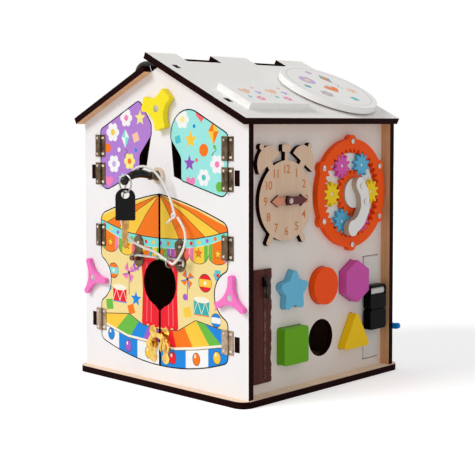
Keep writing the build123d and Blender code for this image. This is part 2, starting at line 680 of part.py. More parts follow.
def clasp_arm():
    """Arched flat arm, pivoted on the left plate, whose curled end drops over the stud."""
    reach = CLASP_STUD_X - CLASP_PIVOT_X
    mouth_r = CLASP_STUD_R + CLASP_NOTCH_PLAY
    centre_x = (CLASP_PIVOT_X + CLASP_STUD_X) / 2
    arch = disc_at(reach / 2 + CLASP_ARM_W / 2, centre_x, CLASP_Z)
    arch -= disc_at(reach / 2 - CLASP_ARM_W / 2, centre_x, CLASP_Z)
    arch &= box_at(3 * reach, 2 * reach, centre_x, CLASP_Z + reach)
    curl = disc_at(mouth_r + CLASP_CURL_W, CLASP_STUD_X, CLASP_Z)
    curl -= box_at(2 * mouth_r, 4 * mouth_r, CLASP_STUD_X, CLASP_Z - 2 * mouth_r)
    outline = arch + curl + disc_at(CLASP_ARM_W, CLASP_PIVOT_X, CLASP_Z)
    outline -= disc_at(mouth_r, CLASP_STUD_X, CLASP_Z)
    outline -= disc_at(PIVOT_SCREW_R + PIVOT_FIT, CLASP_PIVOT_X, CLASP_Z)
    return slab(FRONT, outline, CLASP_STAND, CLASP_STAND + CLASP_ARM)


def plate_nail_holes(x, ear_zs):
    return [nail_shank(FRONT, x, z, PLATE_THICK, 0) for z in ear_zs]


# ---- peg, key ring and key ----
def peg_point(out):
    """Centre of the lever's section at a distance in front of the wall."""
    share = (out - ROSETTE - BRACKET) / (LEVER_REACH - ROSETTE - BRACKET)
    lift = LEVER_ARCH * math.sin(math.pi * share)
    return PEG_X + LEVER_LEAN * share, -GABLE_FACE_Y - out, PEG_Z + lift - LEVER_DROP * share


def peg_lever():
    """Black arched lever: a round bar, thickest in the middle, with a ball end."""
    start, stop = ROSETTE + BRACKET, LEVER_REACH - LEVER_R
    sections = []
    for k in range(4):
        share = k / 3
        radius = LEVER_R * (0.82 + 0.18 * math.sin(math.pi * share))
        at = Plane(origin=peg_point(start + (stop - start) * share), z_dir=(0, -1, 0))
        sections.append(at * Circle(radius))
    return loft(sections) + Pos(*peg_point(stop)) * Sphere(LEVER_R)


def peg_bracket():
    """Turned bronze bracket: a flange, a waist and the collar that holds the lever."""
    x, y, z = peg_point(ROSETTE + BRACKET)
    profile = [(0, 0), (BRACKET_R, 0), (BRACKET_R, 2.5), (BRACKET_R * 0.6, 4.5),
               (BRACKET_R * 0.6, BRACKET - 5), (BRACKET_R * 0.85, BRACKET - 3),
               (BRACKET_R * 0.85, BRACKET), (0, BRACKET)]
    turned = revolve(Plane.XZ * polygon(profile), Axis.Z)
    seat = Plane(origin=(x, -GABLE_FACE_Y - ROSETTE, z), z_dir=(0, -1, 0))
    return seat.location * turned


def key_ring_centre():
    x, y, z = peg_point(KEY_RING_STAND)
    return Vector(x, y, z + LEVER_R + KEY_RING_LIFT - (KEY_RING_R - KEY_RING_WIRE))


def key_ring():
    return Location(key_ring_centre(), (90, 0, 0)) * Torus(KEY_RING_R, KEY_RING_WIRE)


def key_frame():
    """Plane of the key: its Y points up along the key, its origin at the eye of the head."""
    turn = math.radians(KEY_TURN)
    return Plane(origin=key_ring_centre() - Vector(0, 0, KEY_RING_R + KEY_EYE_DROP),
                 x_dir=(math.cos(turn), math.sin(turn), 0),
                 z_dir=(math.sin(turn), -math.cos(turn), 0))


KEY_HEAD_TOP = KEY_EYE_R + 2.4


def key_head():
    """Moulded head with a rounded top; the ring passes through its eye."""
    half, foot = KEY_HEAD_W / 2, KEY_HEAD_TOP - KEY_HEAD_H
    corners = [(-half, foot), (half, foot), (half, KEY_HEAD_TOP), (-half, KEY_HEAD_TOP)]
    outline = polygon(corners, [1.5, 1.5, KEY_HEAD_ROUND_R, KEY_HEAD_ROUND_R])
    return slab(key_frame(), outline - Circle(KEY_EYE_R), -KEY_HEAD_THICK / 2, KEY_HEAD_THICK / 2)


def key_blade():
    top = KEY_HEAD_TOP - KEY_HEAD_H
    half = KEY_BLADE_W / 2
    outline = polygon([(half, top), (half, top - 10), (half - 2, top - 13), (half, top - 16),
                       (half - 2.4, top - 20), (half - 0.6, top - 24), (half - 2.6, top - 29),
                       (0, top - KEY_BLADE), (-half, top - KEY_BLADE + 3), (-half, top)])
    return slab(key_frame(), outline, -KEY_BLADE_THICK / 2, KEY_BLADE_THICK / 2)


# ---- cord ----
def cord_route():
    """The loop from the knot over the lever, behind the key, through the split ring and back."""
    points = [
        (33.5, -147.5, 216.5), (28.5, -147.0, 229.0), (21.5, -148.0, 243.5),
        (14.5, -153.0, 259.5), (8.5, -160.0, 271.0), (-0.6, -167.5, 275.5),
        (-9.0, -174.0, 270.5), (-13.0, -180.5, 257.5), (-14.8, -185.0, 241.5),
        (-15.6, -188.3, 225.0), (-15.2, -188.8, 209.0), (-16.4, -184.0, 194.5),
        (-14.0, -174.5, 182.0), (-5.5, -163.0, 174.0), (7.5, -155.0, 169.0),
        (19.0, -152.5, 162.5), (28.5, -149.0, 156.6), (37.5, -153.6, 156.0),
        (46.0, -154.0, 162.0), (52.0, -150.0, 174.5), (53.5, -147.3, 188.5),
        (49.0, -147.3, 202.0), (39.0, -147.5, 212.0),
    ]
    return [(x, y, level(z / ROUTE_RIDGE_Z)) for x, y, z in points]


def cord_radii(points):
    radii = []
    for a, b, c in zip(points, points[1:], points[2:]):
        before, after = Vector(*b) - Vector(*a), Vector(*c) - Vector(*b)
        turn = math.radians(before.get_angle(after))
        radii.append(0.45 * min(before.length, after.length) / math.tan(turn / 2))
    return radii


def cord_tube(points):
    path = FilletPolyline(*points, radius=cord_radii(points))
    start = path.edges()[0]
    section = Plane(origin=start @ 0, z_dir=start % 0) * Circle(CORD_D / 2)
    return sweep(section, path=path), path.length


# ---- clock ----
def clock_face():
    face = disc_at(CLOCK_R, CLOCK_Y, CLOCK_Z)
    for side in (-1, 1):
        lean = 90 - side * BELL_SPREAD
        px, py = polar(CLOCK_R + 5.5, lean)
        bell = Pos(CLOCK_Y + px, CLOCK_Z + py) * (
            Rot(0, 0, lean - 90) * (Circle(BELL_R) & (Pos(0, BELL_R) * Rectangle(4 * BELL_R, 2 * BELL_R))))
        stem_x, stem_y = polar(CLOCK_R + 1, lean)
        stem = Pos(CLOCK_Y + stem_x, CLOCK_Z + stem_y) * (Rot(0, 0, lean - 90) * Rectangle(9, 13))
        ball_x, ball_y = polar(CLOCK_R + BELL_R + 8.5, lean)
        neck_x, neck_y = polar(CLOCK_R + BELL_R + 4.5, lean)
        neck = Pos(CLOCK_Y + neck_x, CLOCK_Z + neck_y) * (Rot(0, 0, lean - 90) * Rectangle(3.4, 8))
        face += bell + stem + neck + disc_at(3.6, CLOCK_Y + ball_x, CLOCK_Z + ball_y)
        foot_at = -90 + side * 33
        foot_x, foot_y = polar(CLOCK_R + 3, foot_at)
        foot = Pos(CLOCK_Y + foot_x, CLOCK_Z + foot_y) * (
            Rot(0, 0, foot_at + 90) * RectangleRounded(7.5, 20, 3))
        face += foot
    hammer = box_at(5.5, 16, CLOCK_Y, CLOCK_Z + CLOCK_R + 4)
    hammer += Pos(CLOCK_Y, CLOCK_Z + CLOCK_R + 14.5) * RectangleRounded(15, 8.5, 2)
    face += hammer
    bore = disc_at(CLOCK_SCREW_R, CLOCK_Y, CLOCK_Z)
    return slab(RIGHT, face - bore, 0, CLOCK_PLY)


def clock_hand(length, angle, low):
    """A hand with a round hub, a straight shank and an arrow head."""
    half = HAND_W / 2
    head = half + 2.6
    shank = polygon([(0, -half), (length - 12, -half), (length - 12, -head), (length, 0),
                     (length - 12, head), (length - 12, half), (0, half)])
    outline = (shank + Circle(HAND_W * 0.62)) - Circle(CLOCK_SCREW_R + PIVOT_FIT)
    placed = Pos(CLOCK_Y, CLOCK_Z) * (Rot(0, 0, angle) * outline)
    return slab(RIGHT, placed, low, low + HAND_PLY)


HOUR_LOW = CLOCK_PLY + HAND_FIT
MINUTE_LOW = HOUR_LOW + HAND_PLY + HAND_FIT
CLOCK_HEAD_LOW = MINUTE_LOW + HAND_PLY + HAND_FIT


def clock_screw():
    head = slab(RIGHT, disc_at(3.4, CLOCK_Y, CLOCK_Z), CLOCK_HEAD_LOW, CLOCK_HEAD_LOW + 1.6)
    return head + slab(RIGHT, disc_at(CLOCK_SCREW_R, CLOCK_Y, CLOCK_Z), -PLY + 1, CLOCK_HEAD_LOW)


# ---- gears ----
TOOTH_TIP = 0.80            # addendum, in modules
TOOTH_ROOT = 1.05           # dedendum, in modules
TOOTH_SHARE = 0.40          # tooth width at the pitch circle, as a share of the pitch


def tooth_profile(teeth, outward, phase):
    """Points round a gear with straight-sided, chamfered teeth.

    outward is 1 for teeth that point out and -1 for the teeth of a ring, which point in.
    phase turns the first tooth, in degrees.
    """
    pitch_r = GEAR_MODULE * teeth / 2
    step = 360 / teeth
    half_root, half_pitch, half_tip = 0.33, TOOTH_SHARE / 2, 0.10
    root_r = pitch_r - outward * TOOTH_ROOT * GEAR_MODULE
    tip_r = pitch_r + outward * TOOTH_TIP * GEAR_MODULE
    near_tip_r = pitch_r + outward * 0.45 * GEAR_MODULE
    points = []
    for k in range(teeth):
        at = phase + k * step
        for share, radius in ((-half_root, root_r), (-half_pitch, pitch_r), (-0.15, near_tip_r),
                              (-half_tip, tip_r), (half_tip, tip_r), (0.15, near_tip_r),
                              (half_pitch, pitch_r), (half_root, root_r)):
            points.append(polar(radius, at + share * step))
    return points


GEAR_LOW = CARRIER_PLY + 1.0
GEAR_HIGH = GEAR_LOW + GEAR_PLY


def planet_angle(k):
    return 60.0 * k


def planet_phase(k):
    """Turn of a planet that puts a gap of it opposite the sun's tooth."""
    orbit = planet_angle(k)
    sun_pitch = 360 / SUN_TEETH
    lead = (orbit % sun_pitch) / sun_pitch
    return orbit + 180 + (0.5 + lead) * 360 / PLANET_TEETH


def ring_phase():
    """Turn of the ring that puts its gap over the outer tooth of the planet at angle 0."""
    planet_pitch = 360 / PLANET_TEETH
    lead = ((-planet_phase(0)) % planet_pitch) / planet_pitch
    return (0.5 - lead) * 360 / RING_TEETH


def planet_centre(k):
    px, py = polar(PLANET_ORBIT, planet_angle(k))
    return GEAR_Y + px, GEAR_Z + py


def gear_ring():
    rim = Circle(RING_R)
    for k in range(6):
        lx, ly = polar(RING_LOBE_STATION, 90 + 60 * k)
        rim += disc_at(RING_LOBE_R, lx, ly)
        rim -= disc_at(PIVOT_SCREW_R, lx, ly)
    rim -= polygon(tooth_profile(RING_TEETH, -1, ring_phase()))
    return slab(RIGHT, Pos(GEAR_Y, GEAR_Z) * rim, 0, RING_PLY)


def ring_screw_points():
    places = [polar(RING_LOBE_STATION, 90 + 60 * k) for k in range(6)]
    return [(GEAR_Y + x, GEAR_Z + y) for x, y in places]


def ring_screws():
    screws = []
    for y, z in ring_screw_points():
        shank = slab(RIGHT, disc_at(PIVOT_SCREW_R, y, z), -PLY + 1, RING_PLY)
        screws.append(shank + slab(RIGHT, disc_at(RING_SCREW_HEAD_R, y, z), RING_PLY, RING_PLY + 1.2))
    return screws


def sun_gear():
    outline = polygon(tooth_profile(SUN_TEETH, 1, 0)) - Circle(SUN_AXLE_R + AXLE_FIT)
    gear = slab(RIGHT, Pos(GEAR_Y, GEAR_Z) * outline, GEAR_LOW, GEAR_HIGH)
    return gear


def sun_axle():
    """Fixed post that the sun and the carrier turn on, with a collar under the sun."""
    post = slab(RIGHT, disc_at(SUN_AXLE_R, GEAR_Y, GEAR_Z), -PLY + 1, GEAR_HIGH - 0.3)
    return post


def planet(k):
    y, z = planet_centre(k)
    outline = polygon(tooth_profile(PLANET_TEETH, 1, planet_phase(k))) - Circle(AXLE_R + AXLE_FIT)
    return slab(RIGHT, Pos(y, z) * outline, GEAR_LOW, GEAR_HIGH)


def planet_carrier():
    """Thin plate behind the gears with a peg for each planet."""
    ring_inner = GEAR_MODULE * RING_TEETH / 2 - TOOTH_TIP * GEAR_MODULE
    plate = disc_at(ring_inner - 0.8, GEAR_Y, GEAR_Z)
    plate -= disc_at(SUN_AXLE_R + AXLE_FIT, GEAR_Y, GEAR_Z)
    carrier = slab(RIGHT, plate, 0.4, 0.4 + CARRIER_PLY)
    for k in range(PLANETS):
        y, z = planet_centre(k)
        carrier += slab(RIGHT, disc_at(AXLE_R, y, z), 0.4 + CARRIER_PLY, GEAR_HIGH - 1.0)
    return carrier


CRANK_SCREWS = ((5.5, 9.0), (13.0, -11.0))
CRANK_LINE = ((3.0, 11.5), (11.5, -1.0), (13.5, -19.0), (4.0, -35.0), (-11.0, -43.0))
CRANK_BENDS = (25.0, 22.0, 22.0)


def crank_handle():
    """S-shaped handle on its round plate: a broad bar along a bent line, with round ends."""
    low = GEAR_HIGH + SUN_DISC
    bar = trace(FilletPolyline(*CRANK_LINE, radius=CRANK_BENDS), CRANK_W)
    outline = bar + disc_at(CRANK_W / 2, *CRANK_LINE[0]) + disc_at(CRANK_W / 2 + 1.5, *CRANK_LINE[-1])
    centre = Pos(GEAR_Y, GEAR_Z)
    handle = slab(RIGHT, centre * Circle(SUN_DISC_R), GEAR_HIGH, low)
    handle += slab(RIGHT, centre * outline, low, low + CRANK_PLY)
    for x, y in CRANK_SCREWS:
        head = centre * disc_at(CRANK_SCREW_HEAD_R, x, y)
        handle += slab(RIGHT, head, low + CRANK_PLY, low + CRANK_PLY + 1.2)
    return handle


# ---- zip ----
def zip_panel():
    """Leather panel with the closed teeth standing out along it."""
    height = ZIP_TOP_Z - ZIP_BOTTOM_Z
    middle = (ZIP_TOP_Z + ZIP_BOTTOM_Z) / 2
    panel = slab(RIGHT, Pos(ZIP_PANEL_Y, middle) * RectangleRounded(ZIP_WIDTH, height, 3), 0, ZIP_THICK)
    teeth = box_at(TEETH_W, height - 10, ZIP_LINE_Y, middle)
    return panel + slab(RIGHT, teeth, ZIP_THICK, ZIP_THICK + TEETH)


ZIP_REST_Z = ZIP_TOP_Z - 14.0


def zip_slider():
    """Slider that straddles the teeth, with its pull hanging down in front."""
    low = ZIP_THICK + SLIDER_FIT
    top = low + SLIDER
    body = slab(RIGHT, box_at(SLIDER_W, SLIDER_L, ZIP_LINE_Y, ZIP_REST_Z), low, top)
    channel = box_at(TEETH_W + 2 * SLIDER_FIT, SLIDER_L, ZIP_LINE_Y, ZIP_REST_Z)
    body -= slab(RIGHT, channel, low, ZIP_THICK + TEETH + SLIDER_FIT)
    pull = polygon([(ZIP_LINE_Y - 3, ZIP_REST_Z + 2), (ZIP_LINE_Y + 3, ZIP_REST_Z + 2),
                    (ZIP_LINE_Y + 2.4, ZIP_REST_Z + 2 - PULL_L),
                    (ZIP_LINE_Y - 2.4, ZIP_REST_Z + 2 - PULL_L)], 1)
    return body + slab(RIGHT, pull, top, top + 1.4)


# ---- blocks ----
def star_outline(r):
    points = []
    for k in range(5):
        points.append(polar(r * 1.12, 90 + 72 * k))
        points.append(polar(r * 0.60, 126 + 72 * k))
    return polygon(points, [r * 0.17, r * 0.10] * 5)


def corner_points(count, radius, first):
    return [polar(radius, first + 360 / count * k) for k in range(count)]


def block_shapes():
    """Outline of each sorting block at its place on the wall, and how far it stands out."""
    (y0, y1, y2), top, low = BLOCK_COLUMN_YS, BLOCK_TOP_ROW_Z, BLOCK_LOW_ROW_Z
    r = BLOCK_R
    return {
        "star_block": (Pos(y0, top) * star_outline(STAR_R), 9.0),
        "disc_block": (Pos(y1, top) * Circle(r), 9.0),
        "hexagon_block": (Pos(y2, top) * polygon(corner_points(6, 1.17 * r, 30), 0.1 * r), 12.0),
        "square_block": (Pos(y0, low) * RectangleRounded(1.9 * r, 1.9 * r, 0.15 * r), 12.0),
        "triangle_block": (Pos(y2, low - 4) * polygon(corner_points(3, 1.36 * r, 90), 0.16 * r), 11.0),
    }


def block_holes():
    holes = [offset(outline, BLOCK_FIT) for outline, stand in block_shapes().values()]
    return holes + [disc_at(BLOCK_R, BLOCK_COLUMN_YS[1], BLOCK_LOW_ROW_Z)]


# ---- strap and buckle ----
WINDOW_INSET = BUCKLE_BAR + STRAP_THICK


def strap_strip(profile):
    plane = Plane(origin=(SIDE_FACE_X, STRAP_Y + STRAP_W / 2, 0), x_dir=(1, 0, 0), z_dir=(0, -1, 0))
    return plane.location * extrude(trace(Polyline(*profile), STRAP_THICK), amount=STRAP_W)


def strap_upper():
    """Webbing from its slit, behind the plug's end bar and looped forward in its window."""
    back, front = STRAP_LIFT + STRAP_THICK / 2, BUCKLE_STAND + BUCKLE_THICK - 2 * STRAP_THICK
    high = BUCKLE_TOP_Z - BUCKLE_BAR - STRAP_THICK / 2 - BUCKLE_FIT
    low = BUCKLE_TOP_Z - BUCKLE_BAR - BUCKLE_WINDOW + STRAP_THICK / 2 + BUCKLE_FIT
    return strap_strip([(-STRAP_TAIL, STRAP_TOP_Z), (back, STRAP_TOP_Z), (back, high), (front, high),
                        (front, low), (BUCKLE_STAND + 2, low)])


def strap_lower():
    """Webbing from its slit up into the slot behind the socket."""
    back = STRAP_LIFT + STRAP_THICK / 2
    top = BUCKLE_BOTTOM_Z + WINDOW_INSET
    return strap_strip([(-STRAP_TAIL, STRAP_BOTTOM_Z), (back, STRAP_BOTTOM_Z), (back, top),
                        (BUCKLE_STAND + STRAP_SLOT - BUCKLE_FIT, top)])


def strap_slits():
    size = STRAP_W + 2 * SLIT_FIT, STRAP_THICK + 2 * SLIT_FIT
    return [box_at(*size, STRAP_Y, z) for z in (STRAP_BOTTOM_Z, STRAP_TOP_Z)]


def buckle_half(z_low, z_high):
    outline = Pos(STRAP_Y, (z_low + z_high) / 2) * RectangleRounded(BUCKLE_W, z_high - z_low, BUCKLE_CORNER_R)
    body = slab(RIGHT, outline, BUCKLE_STAND, BUCKLE_STAND + BUCKLE_THICK)
    face = body.faces().sort_by(Axis.X)[-1]
    return fillet(face.edges(), BUCKLE_EDGE_R)


def buckle_slot(height, z, low, high):
    return slab(RIGHT, box_at(STRAP_W + 2 * BUCKLE_FIT, height, STRAP_Y, z), low, high)


def buckle_socket():
    """Socket half: a mouth for the plug's tongue and a slot behind for the webbing."""
    body = buckle_half(BUCKLE_BOTTOM_Z, BUCKLE_SPLIT_Z)
    body -= buckle_slot(STRAP_THICK + 2 * BUCKLE_FIT, BUCKLE_BOTTOM_Z + WINDOW_INSET,
                        BUCKLE_STAND, BUCKLE_STAND + STRAP_SLOT)
    depth = TONGUE_L + BUCKLE_FIT
    mouth = box_at(BUCKLE_W - 2 * BUCKLE_WALL, depth, STRAP_Y, BUCKLE_SPLIT_Z - depth / 2)
    return body - slab(RIGHT, mouth, BUCKLE_STAND + BUCKLE_WALL, BUCKLE_STAND + BUCKLE_THICK - BUCKLE_WALL)


def buckle_plug():
    """Plug half: a tongue, and a window near the end that the webbing is threaded through."""
    low = BUCKLE_SPLIT_Z + BUCKLE_FIT
    body = buckle_half(low, BUCKLE_TOP_Z)
    body -= buckle_slot(BUCKLE_WINDOW, BUCKLE_TOP_Z - BUCKLE_BAR - BUCKLE_WINDOW / 2,
                        BUCKLE_STAND, BUCKLE_STAND + BUCKLE_THICK)
    inset = BUCKLE_WALL + BUCKLE_FIT
    tongue = box_at(BUCKLE_W - 2 * inset, TONGUE_L, STRAP_Y, low - TONGUE_L / 2)
    return body + slab(RIGHT, tongue, BUCKLE_STAND + inset, BUCKLE_STAND + BUCKLE_THICK - inset)


# ---- roof toys ----
def jigsaw_middle_s():
    return (JIGSAW_TOP_S + JIGSAW_BOTTOM_S) / 2


def jigsaw_centres():
    return [(a + b) / 2 for a, b in zip(JIGSAW_YS, JIGSAW_YS[1:])]


def jigsaw_piece(index):
    """A thick jigsaw piece with a peg under it; the first has the knob, the next the socket."""
    y0, y1 = JIGSAW_YS[index], JIGSAW_YS[index + 1]
    middle_s = jigsaw_middle_s()
    height = JIGSAW_BOTTOM_S - JIGSAW_TOP_S
    width = y1 - y0 - JIGSAW_FIT
    outline = Pos(middle_s, (y0 + y1) / 2) * Rectangle(height, width)
    seam = JIGSAW_YS[1]
    knob = disc_at(JIGSAW_KNOB_R, middle_s, seam + 4)
    if index == 0:
        outline += knob
    else:
        outline -= disc_at(JIGSAW_KNOB_R + JIGSAW_FIT, middle_s, seam + 4)
    piece = slab(RIGHT_ROOF, outline, 0, JIGSAW_PLY)
    peg = disc_at(JIGSAW_PEG_R, middle_s, jigsaw_centres()[index])
    return piece + slab(RIGHT_ROOF, peg, -PLY + 1, 0)


def roof_disc():
    """Big disc on its hub, which turns on one screw through the roof."""
    bore = disc_at(PIVOT_SCREW_R + PIVOT_FIT, DISC_STATION, DISC_Y)
    top = DISC_LIFT + DISC_PLY
    disc = slab(RIGHT_ROOF, disc_at(DISC_R, DISC_STATION, DISC_Y), DISC_LIFT, top)
    disc += slab(RIGHT_ROOF, disc_at(DISC_HUB_R, DISC_STATION, DISC_Y), HAND_FIT, DISC_LIFT)
    disc -= slab(RIGHT_ROOF, bore, 0, top)
    sink = disc_at(SCREW_HEAD_R + PIVOT_FIT, DISC_STATION, DISC_Y)
    return disc - slab(RIGHT_ROOF, sink, top - SCREW_HEAD, top)


def roof_disc_screw():
    top = DISC_LIFT + DISC_PLY
    seat = top - SCREW_HEAD + HAND_FIT
    head = slab(RIGHT_ROOF, disc_at(SCREW_HEAD_R, DISC_STATION, DISC_Y), seat, top - 0.2)
    return head + slab(RIGHT_ROOF, disc_at(PIVOT_SCREW_R, DISC_STATION, DISC_Y), -PLY + 1, seat)


def carry_handle():
    """Black bow handle on the left slope, just below the ridge."""
    half = HANDLE_L / 2
    rise = HANDLE_RISE - HANDLE_BAR_R
    bow = FilletPolyline((-half, 0, 3), (-half, 0, rise), (half, 0, rise), (half, 0, 3), radius=14)
    start = bow.edges()[0]
    bar = sweep(Plane(origin=start @ 0, z_dir=start % 0) * Circle(HANDLE_BAR_R), path=bow)
    foot = Cylinder(HANDLE_BAR_R + 5, 4)
    shape = bar
    for side in (-1, 1):
        shape += Pos(side * half, 0, 2) * foot
    seat = LEFT_ROOF.location * Location((HANDLE_STATION, -HANDLE_Y, 0), (0, 0, 90))
    return seat * shape


# ---- assembly ----
def cut(solid, tools):
    for tool in tools:
        solid -= tool
    return solid


def build_house():
    front = gable_wall(FRONT) - slab(FRONT, doors_outline(KERF), -PLY, 0)
    for side in (-1, 1):
        front -= slab(FRONT, window_outline(side), -PLY, 0)
    pivots = [(x, SPINNER_PIVOT_Z) for x in SPINNER_PIVOT_XS] + [(BUTTON_PIVOT_X, BUTTON_PIVOT_Z)]
    front = cut(front, [slab(FRONT, disc_at(PIVOT_SCREW_R, x, z), -PLY, 0) for x, z in pivots])
    for line, side in ((LINE_LEFT, -1), (LINE_RIGHT, 1)):
        front = cut(front, leaf_nail_holes(line, side, DOOR_HINGE_ZS + SHUTTER_HINGE_ZS))
    back_bore = disc_at(PIVOT_SCREW_R, -BACK_SPINNER_X, BACK_SPINNER_Z)
    holes = block_holes() + strap_slits()
    holes.append(disc_at(CLOCK_SCREW_R, CLOCK_Y, CLOCK_Z))
    holes.append(disc_at(SUN_AXLE_R, GEAR_Y, GEAR_Z))
    holes += [disc_at(PIVOT_SCREW_R, y, z) for y, z in ring_screw_points()]
    nodes["base_plate"] = base_plate()
    nodes["front_wall"] = front
    nodes["back_wall"] = gable_wall(BACK) - slab(BACK, back_bore, -PLY, 0)
    nodes["right_wall"] = side_wall(RIGHT, holes)
    nodes["left_wall"] = side_wall(LEFT, [])
    nodes["roof_right_panel"] = roof_right_panel()
    nodes["roof_left_panel"] = roof_left_panel()
    nodes["carry_handle"] = carry_handle()


def build_doors():
    fixed = []
    for name, line, inward in (("left", LINE_LEFT, 1), ("right", LINE_RIGHT, -1)):
        for panel, zs in (("door", DOOR_HINGE_ZS), ("shutter", SHUTTER_HINGE_ZS)):
            leaves = [hinge_leaf(line, inward, z, MOVING_KNUCKLES) for z in zs]
            nodes[f"{name}_{panel}_hinge_leaves"] = group(leaves)
            fixed += [fixed_hinge_leaf(line, -inward, z) for z in zs]
        shutter = slab(FRONT, shutter_outline(-inward), -PLY, 0)
        nodes[f"{name}_shutter"] = cut(shutter, leaf_nail_holes(line, inward, SHUTTER_HINGE_ZS))
    nodes["wall_hinge_leaves"] = group(fixed)
    left_holes = leaf_nail_holes(LINE_LEFT, 1, DOOR_HINGE_ZS)
    left_holes += plate_nail_holes(HOOK_PIVOT_X, HOOK_EAR_ZS) + plate_nail_holes(CLASP_PIVOT_X, CLASP_EAR_ZS)
    right_holes = leaf_nail_holes(LINE_RIGHT, -1, DOOR_HINGE_ZS)
    right_holes += plate_nail_holes(HOOK_PLATE_X, HOOK_EAR_ZS) + plate_nail_holes(CLASP_PLATE_X, CLASP_EAR_ZS)
    nodes["left_door"] = cut(door(-1), left_holes)
    nodes["right_door"] = cut(door(1), right_holes)


def build_turn_pieces():
    pieces = {
        "left_spinner": (FRONT, SPINNER_PIVOT_XS[0], SPINNER_PIVOT_Z,
                         spinner_outline(SPINNER_RESTS[0]), SPINNER_THICK),
        "right_spinner": (FRONT, SPINNER_PIVOT_XS[1], SPINNER_PIVOT_Z,
                          spinner_outline(SPINNER_RESTS[1]), SPINNER_THICK),
        "turn_button": (FRONT, BUTTON_PIVOT_X, BUTTON_PIVOT_Z,
                        button_outline(BUTTON_REST), BUTTON_THICK),
        "back_spinner": (BACK, -BACK_SPINNER_X, BACK_SPINNER_Z,
                         spinner_outline(BACK_SPINNER_REST), SPINNER_THICK),
    }
    screws = []
    for name, (plane, x, y, outline, thick) in pieces.items():
        nodes[name] = turn_piece(plane, x, y, outline, thick)
        screws.append(pivot_screw(plane, x, y, thick))
    screws += ring_screws() + [clock_screw(), sun_axle(), roof_disc_screw()]
    nodes["fixing_screws"] = group(screws)


def build_latches():
    hook_left, hook_right = hook_plates()
    clasp_left, clasp_right = clasp_plates()
    nodes["left_latch_plates"] = group([hook_left, clasp_left])
    nodes["right_latch_plates"] = group([hook_right, clasp_right])
    nodes["latch_hook"] = group([hook_rod(), split_ring()])
    nodes["clasp_arm"] = clasp_arm()


def build_peg_and_key():
    nodes["peg_rosette"] = slab(FRONT, disc_at(ROSETTE_R, PEG_X, PEG_Z), 0, ROSETTE)
    nodes["peg_bracket"] = peg_bracket()
    nodes["peg_lever"] = peg_lever()
    nodes["key_ring"] = key_ring()
    nodes["key_head"] = key_head()
    nodes["key_blade"] = key_blade()


def build_right_wall_toys():
    nodes["clock_face"] = clock_face()
    nodes["hour_hand"] = clock_hand(HOUR_HAND, 180, HOUR_LOW)
    nodes["minute_hand"] = clock_hand(MINUTE_HAND, 0, MINUTE_LOW)
    nodes["gear_ring"] = gear_ring()
    nodes["planet_carrier"] = planet_carrier()
    nodes["sun_gear"] = sun_gear()
    nodes["crank_handle"] = crank_handle()
    for k in range(PLANETS):
        nodes[f"planet_gear_{k + 1}"] = planet(k)
    nodes["zip_panel"] = zip_panel()
    nodes["zip_slider"] = zip_slider()
    for name, (outline, stand) in block_shapes().items():
        nodes[name] = slab(RIGHT, outline, stand - BLOCK_DEPTH, stand)
    nodes["buckle_socket"] = buckle_socket()
    nodes["buckle_plug"] = buckle_plug()
    nodes["strap_upper"] = strap_upper()
    nodes["strap_lower"] = strap_lower()


def build_roof_toys():
    nodes["jigsaw_piece_knob"] = jigsaw_piece(0)
    nodes["jigsaw_piece_socket"] = jigsaw_piece(1)
    nodes["roof_disc"] = roof_disc()


def build_cord():
    route = cord_route()
    tube, length = cord_tube(route)
    nodes["cord"] = tube
    print("cord length", round(length, 1), "radii", [round(r, 1) for r in cord_radii(route)])
    print("cord volume share", round(tube.volume / (math.pi * (CORD_D / 2) ** 2 * length), 4))


build_house()
build_doors()
build_turn_pieces()
build_latches()
build_peg_and_key()
build_right_wall_toys()
build_roof_toys()
build_cord()

os.makedirs("parts", exist_ok=True)
print("nodes", len(nodes))
for name, shape in nodes.items():
    export_step(shape, f"parts/{name}.step")
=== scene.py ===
import math

import bmesh
import bpy
from mathutils import Matrix, Vector
from mathutils.geometry import delaunay_2d_cdt


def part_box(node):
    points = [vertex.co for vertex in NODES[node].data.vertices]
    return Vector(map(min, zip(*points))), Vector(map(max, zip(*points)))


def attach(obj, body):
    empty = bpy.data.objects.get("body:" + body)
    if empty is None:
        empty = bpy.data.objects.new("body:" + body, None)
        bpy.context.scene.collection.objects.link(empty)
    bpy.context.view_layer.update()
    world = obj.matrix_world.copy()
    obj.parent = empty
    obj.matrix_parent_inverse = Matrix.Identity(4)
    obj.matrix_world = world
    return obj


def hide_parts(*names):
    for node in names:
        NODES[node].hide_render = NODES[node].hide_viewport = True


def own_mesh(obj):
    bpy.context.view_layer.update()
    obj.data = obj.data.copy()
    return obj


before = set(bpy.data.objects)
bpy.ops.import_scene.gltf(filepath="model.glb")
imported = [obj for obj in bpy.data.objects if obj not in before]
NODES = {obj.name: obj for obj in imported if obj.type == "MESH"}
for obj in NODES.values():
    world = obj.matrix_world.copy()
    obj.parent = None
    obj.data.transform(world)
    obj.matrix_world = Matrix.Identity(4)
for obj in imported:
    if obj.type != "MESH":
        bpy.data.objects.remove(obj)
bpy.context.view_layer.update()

MM = 0.001
SLOPE = math.radians(25.5)
ROOF_RIGHT_N = Vector((math.sin(SLOPE), 0, math.cos(SLOPE)))
ROOF_LEFT_N = Vector((-math.sin(SLOPE), 0, math.cos(SLOPE)))
X_AXIS, Y_AXIS, Z_AXIS = Vector((1, 0, 0)), Vector((0, 1, 0)), Vector((0, 0, 1))


def add_object(name, data):
    obj = bpy.data.objects.new(name, data)
    bpy.context.scene.collection.objects.link(obj)
    return obj


